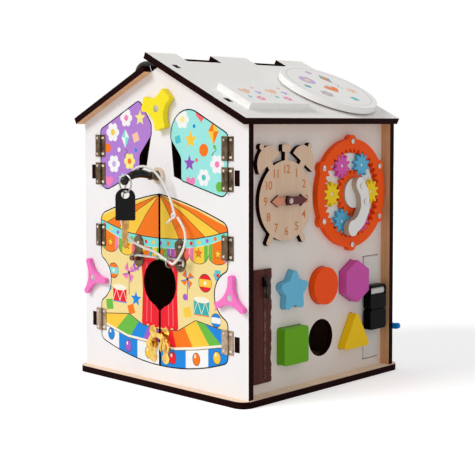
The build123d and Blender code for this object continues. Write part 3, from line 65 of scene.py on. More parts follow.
# ---- camera
PICTURE = 475  # pixels on each side of the picture
FOCAL = 1114  # pixels
HORIZON_RISE = 115  # pixels from the picture's middle up to the horizon
CAMERA_SHIFT = 57  # pixels of that by lens shift; the rest is pitch
CAMERA_AT = (1.001, -1.0505, 0.3243)
LOOK = (-0.6911, 0.7228)  # direction of view, seen from above


def make_camera():
    cam = bpy.data.cameras.new("camera")
    cam.sensor_width = 36
    cam.lens = FOCAL / PICTURE * cam.sensor_width
    cam.shift_y = -CAMERA_SHIFT / PICTURE
    cam.clip_start, cam.clip_end = 0.05, 30
    pitch = math.atan((HORIZON_RISE - CAMERA_SHIFT) / FOCAL)
    azimuth = math.atan2(-LOOK[0], LOOK[1])
    obj = add_object("camera", cam)
    obj.rotation_euler = (math.pi / 2 - pitch, 0, azimuth)
    obj.location = CAMERA_AT
    bpy.context.scene.camera = obj


make_camera()


# ---- colours and node trees
def linear(c):
    return c / 12.92 if c <= 0.04045 else ((c + 0.055) / 1.055) ** 2.4


def rgb(r, g, b):
    """sRGB 0-255 to the linear colour that a shader takes."""
    return linear(r / 255), linear(g / 255), linear(b / 255), 1.0


def grey(value):
    return value, value, value, 1.0


def shade(colour, k):
    return tuple(min(1.0, c * k) for c in colour[:3]) + (1.0,)


def along(axis, fine, coarse):
    """Mapping scale for grain that runs along an axis: coarse along it and fine across."""
    return tuple(coarse if abs(axis[i]) > 0.7 else fine for i in range(3))


class Nodes:
    """The emptied node tree of a material or world, with short ways to add and join nodes."""

    def __init__(self, owner):
        owner.use_nodes = True
        self.tree = owner.node_tree
        self.tree.nodes.clear()

    def node(self, kind, inputs=None, **props):
        node = self.tree.nodes.new(f"ShaderNode{kind}")
        for key, value in props.items():
            setattr(node, key, value)
        for key, value in (inputs or {}).items():
            self.put(node.inputs[key], value)
        return node

    def put(self, socket, value):
        if isinstance(value, bpy.types.NodeSocket):
            self.tree.links.new(value, socket)
        else:
            socket.default_value = value

    def math(self, operation, a, b=0.0):
        return self.node("Math", {0: a, 1: b}, operation=operation).outputs[0]

    def total(self, *parts):
        """Sum of two values, each times its weight."""
        terms = [value if weight == 1 else self.math("MULTIPLY", value, weight) for value, weight in parts]
        return self.math("ADD", *terms)


class Shader(Nodes):
    """A principled material, with the textures that the finishes share."""

    def __init__(self, name):
        self.material = bpy.data.materials.new(name)
        super().__init__(self.material)
        self.bsdf = self.node("BsdfPrincipled")
        self.node("OutputMaterial", {"Surface": self.bsdf.outputs[0]})

    def coords(self, scale=(1, 1, 1)):
        source = self.node("TexCoord").outputs["Object"]
        return self.node("Mapping", {"Vector": source, "Scale": scale}).outputs[0]

    def position(self, axis):
        """Distance of the shaded point along an axis, in metres."""
        source = self.node("TexCoord").outputs["Object"]
        dot = self.node("VectorMath", {0: source, 1: tuple(axis)}, operation="DOT_PRODUCT")
        return dot.outputs["Value"]

    def noise(self, vector, scale, detail=3.0, rough=0.55, distortion=0.0):
        return self.node("TexNoise", {"Vector": vector, "Scale": scale, "Detail": detail,
                                      "Roughness": rough, "Distortion": distortion}).outputs[0]

    def ramp(self, fac, stops):
        node = self.node("ValToRGB", {"Fac": fac})
        band = node.color_ramp
        while len(band.elements) < len(stops):
            band.elements.new(0.5)
        for element, (at, colour) in zip(band.elements, stops):
            element.position = at
            element.color = colour
        return node.outputs[0]

    def mix(self, fac, a, b):
        """Colour a where the factor is 0 and b where it is 1."""
        return self.node("Mix", {0: fac, 6: a, 7: b}, data_type="RGBA").outputs[2]

    def finish(self, colour, rough, height, strength, distance, sheen=0.5, metallic=0.0):
        """Sets the surface, with a relief from a height map, and returns the material."""
        relief = self.node("Bump", {"Height": height, "Strength": strength, "Distance": distance})
        for key, value in (("Base Color", colour), ("Roughness", rough), ("Metallic", metallic),
                           ("Specular IOR Level", sheen), ("Normal", relief.outputs[0])):
            self.put(self.bsdf.inputs[key], value)
        return self.material


# ---- materials
PAINT_SHEEN = 0.12  # low, so that reflections of the white studio leave the colour strong
MOTTLE = 0.025  # share by which a paint's tone varies


def painted(name, colour, grain=(0, 0, 1), rough=0.48, depth=0.05):
    """Paint on plywood: a faint grain under it, soft mottling and a slightly dimpled film."""
    s = Shader(name)
    base = rgb(*colour)
    streaks = s.noise(s.coords(along(grain, 90, 6)), 6.0, detail=4.0, rough=0.6)
    cloud = s.noise(s.coords(), 14.0)
    tone = s.ramp(cloud, [(0.3, shade(base, 1 - MOTTLE)), (0.7, shade(base, 1 + MOTTLE))])
    tone = s.mix(s.math("MULTIPLY", streaks, depth), tone, shade(base, 0.72))
    film = s.noise(s.coords(), 900.0, detail=2.0)
    relief = s.total((streaks, 0.6), (film, 0.25))
    gloss = s.ramp(cloud, [(0.3, grey(rough * 0.88)), (0.75, grey(rough * 1.12))])
    return s.finish(tone, gloss, relief, strength=0.25, distance=0.0002, sheen=PAINT_SHEEN)


ROOM = (0.1305, 0.1365)  # half width along X and Y of the inside, whose bare birch gets painted shade
INSIDE_SHADE = 0.22  # share of the birch's light tone that is left inside the house: painted shade, as little light gets in there


def in_room(s):
    """1 where the shaded point lies within the room, whose birch gets painted shade, as the cut openings show
    it.
    """
    within = [s.math("LESS_THAN", s.math("ABSOLUTE", s.position(axis)), reach)
              for axis, reach in zip((X_AXIS, Y_AXIS), ROOM)]
    return s.math("MULTIPLY", *within)


def bare_birch(name, light, dark, grain=(0, 0, 1), fleck_depth=0.35, painted_shade=False):
    """Bare birch: long fine grain with a few darker flecks; the last flag paints shade onto faces in the
    house.
    """
    s = Shader(name)
    lines = s.noise(s.coords(along(grain, 130, 5)), 5.0, detail=6.0, rough=0.65, distortion=0.4)
    broad = s.noise(s.coords(along(grain, 16, 2.5)), 4.0)
    flecks = s.noise(s.coords(along(grain, 500, 40)), 4.0, detail=2.0)
    tone = s.ramp(s.total((lines, 0.6), (broad, 0.4)), [(0.36, rgb(*dark)), (0.62, rgb(*light))])
    fleck = s.ramp(flecks, [(0.30, grey(1)), (0.38, grey(0))])
    tone = s.mix(s.math("MULTIPLY", fleck, fleck_depth), tone, shade(rgb(*dark), 0.6))
    # painted shade: inside the house the birch turns to a dark share of its light tone
    if painted_shade:
        tone = s.mix(in_room(s), tone, shade(rgb(*light), INSIDE_SHADE))
    return s.finish(tone, 0.6, lines, strength=0.3, distance=0.0002, sheen=0.15)


PLY_LAYER = 0.0016  # thickness of one layer of the plywood
CHAR_DARK, CHAR_LIGHT = (9, 2, 3), (46, 12, 9)


def burnt_edge(name, normal):
    """Laser-cut edge: charred plies in thin layers across the panel's thickness."""
    s = Shader(name)
    wobble = s.noise(s.coords(), 60.0, detail=2.0)
    layers = s.math("SINE", s.total((s.position(normal), 2 * math.pi / PLY_LAYER), (wobble, 2.0)))
    scorch = s.noise(s.coords(), 220.0, detail=4.0, rough=0.7)
    amount = s.total((layers, 0.14), (scorch, 1))
    tone = s.ramp(amount, [(0.32, rgb(*CHAR_DARK)), (0.85, rgb(*CHAR_LIGHT))])
    return s.finish(tone, 0.7, amount, strength=0.5, distance=0.0003, sheen=0.04)


def metal(name, colour, rough, dark):
    """Plated metal with uneven tone, finger-dulled patches and fine scratches."""
    s = Shader(name)
    patches = s.noise(s.coords(), 120.0, detail=4.0, rough=0.6)
    tone = s.ramp(patches, [(0.3, rgb(*dark)), (0.6, rgb(*colour))])
    scratches = s.noise(s.coords((1400, 60, 1400)), 1.0, detail=2.0)
    gloss = s.ramp(patches, [(0.3, grey(rough * 1.5)), (0.7, grey(rough * 0.8))])
    return s.finish(tone, gloss, scratches, strength=0.12, distance=0.0001, metallic=1.0)


def plastic(name, colour, rough, sheen=0.25, dimples=0.05):
    """Moulded plastic with smears and a finely dimpled skin."""
    s = Shader(name)
    base = rgb(*colour)
    skin = s.noise(s.coords(), 700.0, detail=2.0)
    smear = s.noise(s.coords(), 30.0)
    gloss = s.ramp(smear, [(0.3, grey(rough * 0.8)), (0.75, grey(rough * 1.4))])
    tone = s.ramp(smear, [(0.3, shade(base, 0.85)), (0.75, shade(base, 1.25))])
    return s.finish(tone, gloss, skin, strength=dimples, distance=0.0002, sheen=sheen)


RIB_PITCH, ROW_PITCH = 0.0022, 0.0013  # of the webbing's weave


def webbing(name, colour, across, down):
    """Woven strap: rows of slanting ribs with a thread pattern, and painted shade in the weave's hollows."""
    s = Shader(name)
    base = rgb(*colour)
    ribs = s.math("SINE", s.math("MULTIPLY", s.position(across), 2 * math.pi / RIB_PITCH))
    rise = s.total((s.position(down), 2 * math.pi / ROW_PITCH), (s.math("SIGN", ribs), 1.6))
    weave = s.total((s.math("ABSOLUTE", ribs), 0.6), (s.math("SINE", rise), 0.4))
    dirt = s.noise(s.coords(), 40.0)
    # painted shade: the weave's low parts are darker
    tone = s.ramp(weave, [(0.0, shade(base, 0.8)), (0.7, base)])
    tone = s.mix(s.math("MULTIPLY", dirt, 0.12), tone, shade(base, 0.7))
    return s.finish(tone, 0.95, weave, strength=0.6, distance=0.0004, sheen=0.1)


def leather(name, colour, dark):
    """Grained leather with creases; painted shade darkens the grain's lines and the creases' hollows, which
    leaves the high spots lighter.
    """
    s = Shader(name)
    cells = s.node("TexVoronoi", {"Vector": s.coords((1, 1, 0.7)), "Scale": 650.0},
                   feature="DISTANCE_TO_EDGE").outputs["Distance"]
    crease = s.noise(s.coords((1, 90, 12)), 1.2, detail=4.0, rough=0.6, distortion=0.5)
    pebble = s.ramp(cells, [(0.0, grey(0)), (0.12, grey(1))])
    # painted shade: lower in the creases is darker
    tone = s.ramp(crease, [(0.35, rgb(*dark)), (0.7, rgb(*colour))])
    # painted shade: the grain's recessed lines take the darkest tone
    tone = s.mix(s.math("MULTIPLY", pebble, 0.3), shade(rgb(*dark), 0.8), tone)
    height = s.total((pebble, 0.4), (crease, 1.2))
    return s.finish(tone, 0.55, height, strength=0.5, distance=0.0005, sheen=0.15)


# ---- dressing CAD nodes
FACE_ON = 0.75  # cosine within which a face counts as the flat side of a panel
EDGE_Y = burnt_edge("burnt edge y", Y_AXIS)
EDGE_X = burnt_edge("burnt edge x", X_AXIS)
EDGE_Z = burnt_edge("burnt edge z", Z_AXIS)
EDGE_ROOF_R = burnt_edge("burnt edge roof right", ROOF_RIGHT_N)
EDGE_ROOF_L = burnt_edge("burnt edge roof left", ROOF_LEFT_N)
BIRCH_BACK = bare_birch("bare birch back", (232, 190, 150), (206, 160, 118))
# bare birch with painted shade, for the faces inside the house
BIRCH_INSIDE_SHADED = bare_birch("bare birch inside shaded", (226, 178, 134), (196, 146, 102), painted_shade=True)
BIRCH_EAVES = bare_birch("bare birch eaves", (238, 190, 146), (214, 160, 116), grain=(0, 1, 0))
# the right wall has the same white paint; its darker tone is painted shade, as that side is turned from the
# light
WALL_WHITE, SHADED_WALL_WHITE, ROOF_WHITE = (246, 243, 243), (236, 227, 220), (251, 248, 244)
BOARD_WHITE, PURPLE, CYAN = (250, 248, 245), (183, 130, 215), (160, 235, 228)
ROOF_PIECES = ("jigsaw_piece_knob", "jigsaw_piece_socket", "roof_disc")


def dress(node, *materials, pick=None):
    """Gives a CAD node its materials; pick(centre, normal) says which one a face takes."""
    obj = NODES[node]
    obj.data.materials.clear()
    for material in materials:
        obj.data.materials.append(material)
    for face in obj.data.polygons:
        face.material_index = pick(face.center, face.normal) if pick else 0


def panel(node, outer, out, edge, inner=BIRCH_INSIDE_SHADED):
    """A panel painted outside, bare inside, with burnt edges; out points outwards."""
    def pick(centre, normal):
        facing = normal.dot(out)
        return 0 if facing > FACE_ON else 2 if facing < -FACE_ON else 1

    dress(node, outer, edge, inner, pick=pick)


def plate(node, face, axis, edge):
    """A flat piece with one finish on both faces and another on its edges."""
    dress(node, face, edge, pick=lambda centre, normal: 0 if abs(normal.dot(axis)) > FACE_ON else 1)


def dress_walls():
    base = bare_birch("bare birch base", (253, 228, 204), (236, 204, 172), grain=(1, 0, 0))
    plate("base_plate", base, Z_AXIS, EDGE_Z)
    # the right wall's darker white is painted shade
    for side, colour, out, edge in (
            ("front", WALL_WHITE, -Y_AXIS, EDGE_Y), ("back", WALL_WHITE, Y_AXIS, EDGE_Y),
            ("right", SHADED_WALL_WHITE, X_AXIS, EDGE_X), ("left", WALL_WHITE, -X_AXIS, EDGE_X)):
        panel(f"{side}_wall", painted(f"{side} wall white", colour), out, edge)


def dress_roof():
    for side, out, edge in (("right", ROOF_RIGHT_N, EDGE_ROOF_R), ("left", ROOF_LEFT_N, EDGE_ROOF_L)):
        white = painted(f"roof {side} white", ROOF_WHITE, grain=(0, 1, 0))
        panel(f"roof_{side}_panel", white, out, edge, BIRCH_EAVES)
    board = painted("roof board white", BOARD_WHITE, grain=(0, 1, 0))
    for node in ROOF_PIECES:
        dress(node, board)
    dress("carry_handle", plastic("carry handle black", (10, 10, 12), 0.3))


def dress_doors_and_shutters():
    ground = painted("door back white", (240, 236, 230))
    faces = {"left_door": ground, "right_door": ground,
             "left_shutter": painted("shutter purple", PURPLE),
             "right_shutter": painted("shutter cyan", CYAN)}
    for node, face in faces.items():
        panel(node, face, -Y_AXIS, EDGE_Y, BIRCH_BACK)


def dress_spinners():
    pink = painted("spinner pink", (250, 125, 200))
    dress("left_spinner", pink)
    dress("right_spinner", pink)
    dress("back_spinner", painted("spinner blue", (20, 135, 225)))
    dress("turn_button", painted("button yellow", (255, 233, 40)))
    dress("fixing_screws", metal("screw steel", (200, 195, 188), 0.3, (120, 112, 104)))


LEAF_FACE, NAIL_TOP = -0.13925, -0.1402  # Y of a leaf's face and of its nails' heads
NAIL_ON = 0.3  # cosine above which a face there is a nail's head
LOW_IRONS = 0.1  # fittings below this height have another finish
BRONZE = metal("antique bronze", (118, 98, 76), 0.42, (62, 50, 40))


def hinge_finish(centre, normal):
    """0 is bronze, 1 a nail's head and 2 the low irons' finish."""
    if NAIL_TOP < centre.y < LEAF_FACE and abs(normal.y) > NAIL_ON:
        return 1
    return 2 if centre.z < LOW_IRONS else 0


def latch_finish(centre, normal):
    """As on a hinge, but the low latch has one finish all over, nails too."""
    return 2 if centre.z < LOW_IRONS else hinge_finish(centre, normal)


def dress_hinges_and_latches():
    pale = metal("pale bronze", (190, 168, 148), 0.4, (140, 118, 100))
    nails = metal("nail heads", (232, 224, 210), 0.2, (150, 138, 122))
    gilt = metal("gilt", (244, 208, 112), 0.24, (196, 146, 62))
    for owner in ("wall", "left_door", "right_door", "left_shutter", "right_shutter"):
        dress(f"{owner}_hinge_leaves", BRONZE, nails, pale, pick=hinge_finish)
    for side in ("left", "right"):
        dress(f"{side}_latch_plates", BRONZE, nails, gilt, pick=latch_finish)
    dress("latch_hook", metal("hook rod", (214, 212, 212), 0.12, (120, 116, 112)))
    dress("clasp_arm", gilt)


def dress_peg_and_key():
    dress("peg_rosette", bare_birch("peg wood", (240, 224, 208), (222, 200, 178)))
    dress("peg_bracket", BRONZE)
    dress("peg_lever", plastic("lever black", (6, 6, 7), 0.16, sheen=0.3))
    dress("key_ring", metal("key ring wire", (210, 208, 204), 0.14, (150, 146, 140)))
    dress("key_head", plastic("key head black", (5, 5, 6), 0.2, sheen=0.15))
    dress("key_blade", metal("key brass", (206, 160, 94), 0.28, (150, 104, 56)))


def dress_clock():
    clock = bare_birch("clock birch", (234, 203, 176), (222, 188, 160), fleck_depth=0.12)
    plate("clock_face", clock, X_AXIS, EDGE_X)
    plate("hour_hand", painted("hand terracotta", (222, 146, 118)), X_AXIS, EDGE_X)
    plate("minute_hand", painted("hand dark red", (104, 50, 58)), X_AXIS, EDGE_X)


def dress_planetary_drive():
    dress("gear_ring", painted("ring orange", (252, 86, 6)))
    dress("planet_carrier", painted("carrier white", (240, 238, 232)))
    dress("sun_gear", painted("sun orange", (250, 92, 20)))
    plate("crank_handle", painted("crank white", (240, 238, 234)), X_AXIS,
          painted("crank edge", (186, 166, 148)))
    tones = [painted("planet yellow", (252, 214, 30)), painted("planet blue", (96, 184, 222)),
             painted("planet magenta", (222, 90, 176))]
    for k in range(6):
        dress(f"planet_gear_{k + 1}", tones[k % 3])


def dress_blocks():
    colours = {"star": (110, 190, 225), "disc": (255, 82, 2), "hexagon": (208, 84, 172),
               "square": (104, 172, 22), "triangle": (252, 206, 14)}
    for form, colour in colours.items():
        node = f"{form}_block"
        dress(node, painted(f"{node} paint", colour, grain=(1, 0, 0), rough=0.42))


def dress_slider_and_buckle():
    dress("zip_slider", metal("zip slider black", (52, 48, 46), 0.3, (20, 18, 18)))
    black = plastic("buckle black", (3, 3, 4), 0.35, sheen=0.05, dimples=0.15)
    dress("buckle_socket", black)
    dress("buckle_plug", black)


dress_walls()
dress_roof()
dress_doors_and_shutters()
dress_spinners()
dress_hinges_and_latches()
dress_peg_and_key()
dress_clock()
dress_planetary_drive()
dress_blocks()
dress_slider_and_buckle()


# ---- new pieces
def piece(name, data, body, slot, *materials, place=None):
    """A piece of the looks alone, which moves with a body; the slot is not used."""
    obj = add_object(name, data)
    if place is not None:
        obj.matrix_world = place
    for material in materials:
        obj.data.materials.append(material)
    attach(obj, body)
    return obj


def mesh_of(name, verts, faces, smooth=False):
    """A mesh from corners in mm."""
    mesh = bpy.data.meshes.new(name)
    mesh.from_pydata([tuple(c * MM for c in v) for v in verts], [], faces)
    mesh.update()
    for face in mesh.polygons:
        face.use_smooth = smooth
    return mesh


def edit_mesh(mesh, change):
    """Runs change on the editable form of a mesh."""
    bm = bmesh.new()
    bm.from_mesh(mesh)
    change(bm)
    bm.to_mesh(mesh)
    bm.free()


# ---- printed sheets
FILM_BACK, FILM_FACE = 0.02, 0.12  # of a print in front of the wood, in mm
PANE = 8.0  # an opening narrower than this, in mm, is a nail hole
FLAT = 0.98  # cosine within which a face looks the print's way
SAME_PLANE = 0.05  # mm
STEPS, STEP = 1e5, 1e-2  # for rounding corners: steps in a metre, and mm in a step
INK = {
    "line": (84, 50, 44), "orange": (250, 122, 26), "yellow": (252, 206, 66), "cream": (255, 246, 224),
    "sky": (128, 228, 220), "field": (246, 223, 152), "red": (240, 30, 46), "rose": (248, 108, 116),
    "green": (108, 190, 70), "blue": (28, 138, 226), "purple": (168, 96, 204), "pink": (248, 132, 186),
    "white": (248, 248, 248), "brown": (178, 112, 60), "teal": (60, 178, 176), "plum": (150, 84, 190),
    "lilac": (205, 178, 226), "aqua": (88, 198, 206), "peach": (250, 200, 172), "lemon": (252, 240, 140),
    "grey": (186, 186, 196), "purple ground": PURPLE, "cyan ground": CYAN, "board ground": BOARD_WHITE,
}
INK_MATERIALS = {}


def ink(name):
    if name not in INK_MATERIALS:
        INK_MATERIALS[name] = painted(f"ink {name}", INK[name], rough=0.36, depth=0.03)
    return INK_MATERIALS[name]


def toggle_edges(edges, corners, value):
    """Adds a face's edges, but takes out those that it shares with a neighbour."""
    for a, b in zip(corners, corners[1:] + corners[:1]):
        if (b, a) in edges:
            del edges[b, a]
        else:
            edges[a, b] = value


def face_loops(node, normal, across, up):
    """Closed outlines, in mm, of the flat face that a node shows towards a direction."""
    mesh = NODES[node].data
    faces = [f for f in mesh.polygons if f.normal.dot(normal) > FLAT]
    top = max(f.center.dot(normal) for f in faces)
    edges = {}
    for face in faces:
        if face.center.dot(normal) >= top - SAME_PLANE * MM:
            corners = [tuple(round(c * STEPS) for c in mesh.vertices[v].co) for v in face.vertices]
            toggle_edges(edges, corners, True)
    follow = dict(edges.keys())
    loops = []
    while follow:
        start, at = next(iter(follow.items()))
        del follow[start]
        loop = [start]
        while at != start and at in follow:
            loop.append(at)
            at = follow.pop(at)
        loops.append([(Vector(p).dot(across) * STEP, Vector(p).dot(up) * STEP) for p in loop])
    return loops, top / MM


def signed_area(loop):
    return sum(a[0] * b[1] - b[0] * a[1] for a, b in zip(loop, loop[1:] + loop[:1])) / 2


def ccw(loop):
    return loop if signed_area(loop) > 0 else loop[::-1]


def panes(loops):
    """The loops that a print follows, the largest first: the outline and the wide openings."""
    loops = [ccw(loop) for loop in loops if len(loop) > 2]
    loops = [loop for loop in loops if max(p[0] for p in loop) - min(p[0] for p in loop) > PANE]
    return sorted(loops, key=signed_area, reverse=True)


def coloured_triangles(loops, shapes, ground):
    """Points, and each triangle's corners and colour, within the outline and off its openings."""
    coords, faces = [], []
    for loop in loops + [ccw(shape) for shape, _ in shapes]:
        faces.append(list(range(len(coords), len(coords) + len(loop))))
        coords += [Vector(p) for p in loop]
    points, _, triangles, _, _, owners = delaunay_2d_cdt(coords, [], faces, 1, 1e-4)
    colours = [ground] * len(loops) + [colour for _, colour in shapes]
    kept = [(list(triangle), colours[max(owner)]) for triangle, owner in zip(triangles, owners)
            if 0 in owner and not any(0 < k < len(loops) for k in owner)]
    return points, kept


def drop_loose(bm):
    bmesh.ops.delete(bm, geom=[v for v in bm.verts if not v.link_faces], context="VERTS")


def printed(name, node, slot, normal, across, up, ground, shapes):
    """A film with the shapes' colours, cut to the outline of the node's face."""
    loops, top = face_loops(node, normal, across, up)
    points, triangles = coloured_triangles(panes(loops), shapes, ground)
    names = [ground] + sorted({colour for _, colour in shapes} - {ground})
    count = len(points)
    verts = [across * p[0] + up * p[1] + normal * (top + height)
             for height in (FILM_FACE, FILM_BACK) for p in points]
    flip = across.cross(up).dot(normal) < 0
    polygons, colours, rim = [], [], {}
    for corners, colour in triangles:
        front = corners[::-1] if flip else corners
        polygons += [front, [v + count for v in reversed(front)]]
        colours += [colour, colour]
        toggle_edges(rim, front, colour)
    for (a, b), colour in rim.items():
        polygons.append([b, a, a + count, b + count])
        colours.append(colour)
    mesh = mesh_of(name, verts, polygons)
    for face, colour in zip(mesh.polygons, colours):
        face.material_index = names.index(colour)
    piece(name, mesh, node, slot, *[ink(n) for n in names])
    edit_mesh(mesh, drop_loose)


# ---- printed shapes
# Shapes are (outline, colour) pairs in mm on the printed face; later ones lie on top.
THIN = 0.8  # width of a thin line


def polar(x, y, r, t, squeeze=1.0):
    return x + r * math.cos(t), y + r * squeeze * math.sin(t)


def circle(x, y, r, colour, n=28, squeeze=1.0):
    return [([polar(x, y, r, 2 * math.pi * k / n, squeeze) for k in range(n)], colour)]


def spot(x, y, r, colour, squeeze=1.0):
    """A small circle, with half as many corners."""
    return circle(x, y, r, colour, 14, squeeze)


def star(x, y, r, colour):
    """Five points, with the inner corners at 0.45 of the radius."""
    rim = [polar(x, y, r * (0.45 if k % 2 else 1), math.radians(90 + 36 * k)) for k in range(10)]
    return [(rim, colour)]


def stroke(points, width, colour):
    """A line of even width, as one quad for each of its runs."""
    shapes = []
    for (ax, ay), (bx, by) in zip(points, points[1:]):
        length = math.hypot(bx - ax, by - ay) or 1
        nx, ny = -(by - ay) / length * width / 2, (bx - ax) / length * width / 2
        quad = [(ax + nx, ay + ny), (bx + nx, by + ny), (bx - nx, by - ny), (ax - nx, ay - ny)]
        shapes.append((quad, colour))
    return shapes


def block(x, y, size, colour, turn):
    return [([polar(x, y, size * 0.71, math.radians(turn + 45 + 90 * k)) for k in range(4)], colour)]


def ball(x, y, r, a, b):
    """A round ball with a line round it and a band of a second colour."""
    arc = [-0.45 + 0.9 * k / 6 for k in range(7)]
    band = [polar(x, y, 0.94 * r, t) for t in arc + [math.pi + t for t in arc]]
    return circle(x, y, r, "line") + circle(x, y, r * 0.9, a) + [(band, b)] + circle(x, y, r * 0.22, "cream")


def pinwheel(x, y, r, a, b):
    """Four folded vanes on a stick."""
    shapes = stroke([(x, y), (x, y - 2.0 * r)], 1.4, "brown")
    for k in range(4):
        t = math.radians(90 * k + 12)
        tip = polar(x, y, r, t)
        side = polar(x, y, r * 0.72, t + 0.95)
        fold = polar(x, y, r * 0.5, t + 0.3)
        shapes += [([(x, y), tip, side], a), ([(x, y), tip, fold], b)]
    return shapes + circle(x, y, r * 0.15, "line")


def oblong(left, low, right, high, colour):
    return [([(left, low), (right, low), (right, high), (left, high)], colour)]


def drum(x, y, w, h, body, rim):
    """A drum with a rim above and below, a zigzag cord and a flat oval skin."""
    left, low, right, high = x - w / 2, y - h / 2, x + w / 2, y + h / 2
    zig = [(left + w * k / 4, y + (h / 2 - 2) * (1 if k % 2 else -1)) for k in range(5)]
    return (oblong(left, low, right, high, body) + oblong(left, low, right, low + 1.2, rim)
            + oblong(left, high - 1.2, right, high, rim) + stroke(zig, THIN, "cream")
            + circle(x, high, w / 2, "cream", squeeze=0.28))


def flower(x, y, r, petal, centre, n=6):
    shapes = []
    for k in range(n):
        shapes += spot(*polar(x, y, r * 0.6, 2 * math.pi * k / n), r * 0.36, petal)
    return shapes + spot(x, y, r * 0.32, centre)


def heart(x, y, r, colour):
    """The common heart curve, which reaches 16 units to each side."""
    unit = r * 0.062
    rim = []
    for k in range(24):
        t = 2 * math.pi * k / 24
        rise = 13 * math.cos(t) - 5 * math.cos(2 * t) - 2 * math.cos(3 * t) - math.cos(4 * t)
        rim.append((x + unit * 16 * math.sin(t) ** 3, y + unit * rise))
    return [(rim, colour)]


def kite(x, y, r, a, b):
    """A kite in four quarters of two colours, with a crooked tail."""
    top, low, middle = (x, y + r), (x, y - r), (x, y + r * 0.15)
    left, right = (x - r * 0.62, middle[1]), (x + r * 0.62, middle[1])
    tail = [low, (x + r * 0.35, y - 1.4 * r), (x - r * 0.2, y - 1.75 * r), (x + r * 0.3, y - 2.1 * r)]
    return [([top, left, middle], a), ([top, middle, right], b), ([low, right, middle], a),
            ([low, middle, left], b)] + stroke(tail, THIN, "line")


# ---- the doors' print
# Lines that run across both doors, from left to right.
TENT_FOOT = [(-120, 200.5), (-112.8, 199.3), (-86, 192.4), (-58.7, 186.3), (-31, 183.9), (-5.4, 183.4),
             (24, 184.2), (58.1, 186.7), (86, 192.2), (111.6, 198.6), (120, 200.5)]
BAND_FOOT = [(-120, 192.5), (-112.8, 190.9), (-86, 181.0), (-58.7, 173.4), (-31, 171.4), (-5.4, 171.5),
             (24, 172.2), (58.1, 176.4), (86, 182.6), (111.6, 191.8), (120, 194.5)]
FIELD_FOOT = [(-120, 78), (-60, 86), (0, 90), (60, 92), (120, 84)]
FLOOR_BACK = [(-120, 78), (-60, 84), (-36, 74), (-3, 71), (30, 74), (60, 90), (120, 82)]
FLOOR_FRONT = [(-120, 71.5), (-104, 65.5), (-62.8, 55.7), (-6.3, 53.5), (22, 50.7), (60, 56.5),
               (102.8, 65.2), (120, 70)]
PRINT_FOOT = 20
TENT_TIP, TENT_BOW = (-3.0, 236.7), 3  # the stripes' sides bow upwards by this much
STRIPE_FEET = [-124, -103, -79.6, -47.4, -4.2, 32, 76, 101, 124]
BULB_TONES = ["red", "yellow", "purple", "orange", "green", "pink"]
BULB_COUNT, BULB_LEFT, BULB_PITCH = 17, -108, 13.4
PENNANTS_LEFT, PENNANT_PITCH, PENNANT_FOOT = -112, 32.2, 154.5
PENNANT_HALF, STRIPS, BOWL = 15.6, (-9, 9.4), 10  # half width, the strips' inner sides, the foot's depth
FAN = 0.72  # of a floor segment's width that is left at its back end


def height_of(line, x):
    for (ax, ay), (bx, by) in zip(line, line[1:]):
        if ax <= x <= bx:
            return ay + (by - ay) * (x - ax) / (bx - ax)
    return line[0][1] if x < line[0][0] else line[-1][1]


def stretch(line, a, b):
    """The part of a line from x = a to x = b."""
    return [(a, height_of(line, a))] + [p for p in line if a < p[0] < b] + [(b, height_of(line, b))]


def between(top, low, colour):
    """The area between two lines that run from left to right."""
    return [(list(low) + list(reversed(top)), colour)]


def bow(x):
    """Middle of a stripe's side, which runs from the tent's tip to its foot at x."""
    return TENT_TIP[0] + (x - TENT_TIP[0]) * 0.5, (TENT_TIP[1] + height_of(TENT_FOOT, x)) / 2 + TENT_BOW


def tent_stripes():
    shapes = []
    for k, (a, b) in enumerate(zip(STRIPE_FEET, STRIPE_FEET[1:])):
        outline = [TENT_TIP, bow(a)] + stretch(TENT_FOOT, a, b) + [bow(b)]
        shapes.append((outline, "yellow" if k % 2 == 0 else "orange"))
    for x in STRIPE_FEET[1:-1]:
        shapes += stroke([TENT_TIP, bow(x), (x, height_of(TENT_FOOT, x))], THIN, "line")
    return shapes


def curtain():
    """A red curtain with four pale folds and a hem of six scallops."""
    right, foot, width, steps = 30, 76, 66, 24
    sides = [(-36, 151), (-30, 158), (24, 158), (right, 151), (28, 120), (right, foot)]
    hem = [(right - width * k / steps, foot - 3.4 * abs(math.sin(math.pi * k / 4))) for k in range(steps + 1)]
    shapes = [(sides + hem + [(-34, 118)], "red")]
    for x in (-27, -19, 13, 21):
        shapes += stroke([(x, 152), (x * 0.96, 120), (x, 78)], 1.6, "rose")
    return shapes


def sky_band():
    """A band under the tent with a row of round bulbs."""
    shapes = between(TENT_FOOT, BAND_FOOT, "sky")
    shapes += stroke(TENT_FOOT, 1.2, "line") + stroke(BAND_FOOT, 1.0, "cream")
    for k in range(BULB_COUNT):
        x = BULB_LEFT + BULB_PITCH * k
        y = (height_of(TENT_FOOT, x) + height_of(BAND_FOOT, x)) / 2
        shapes += spot(x, y, 2.5, BULB_TONES[k % len(BULB_TONES)])
    return shapes


def bowl_height(x, middle, foot):
    """Height of a pennant's round foot at x."""
    return foot + BOWL - BOWL * math.sqrt(max(0.0, 1 - ((x - middle) / PENNANT_HALF) ** 2))


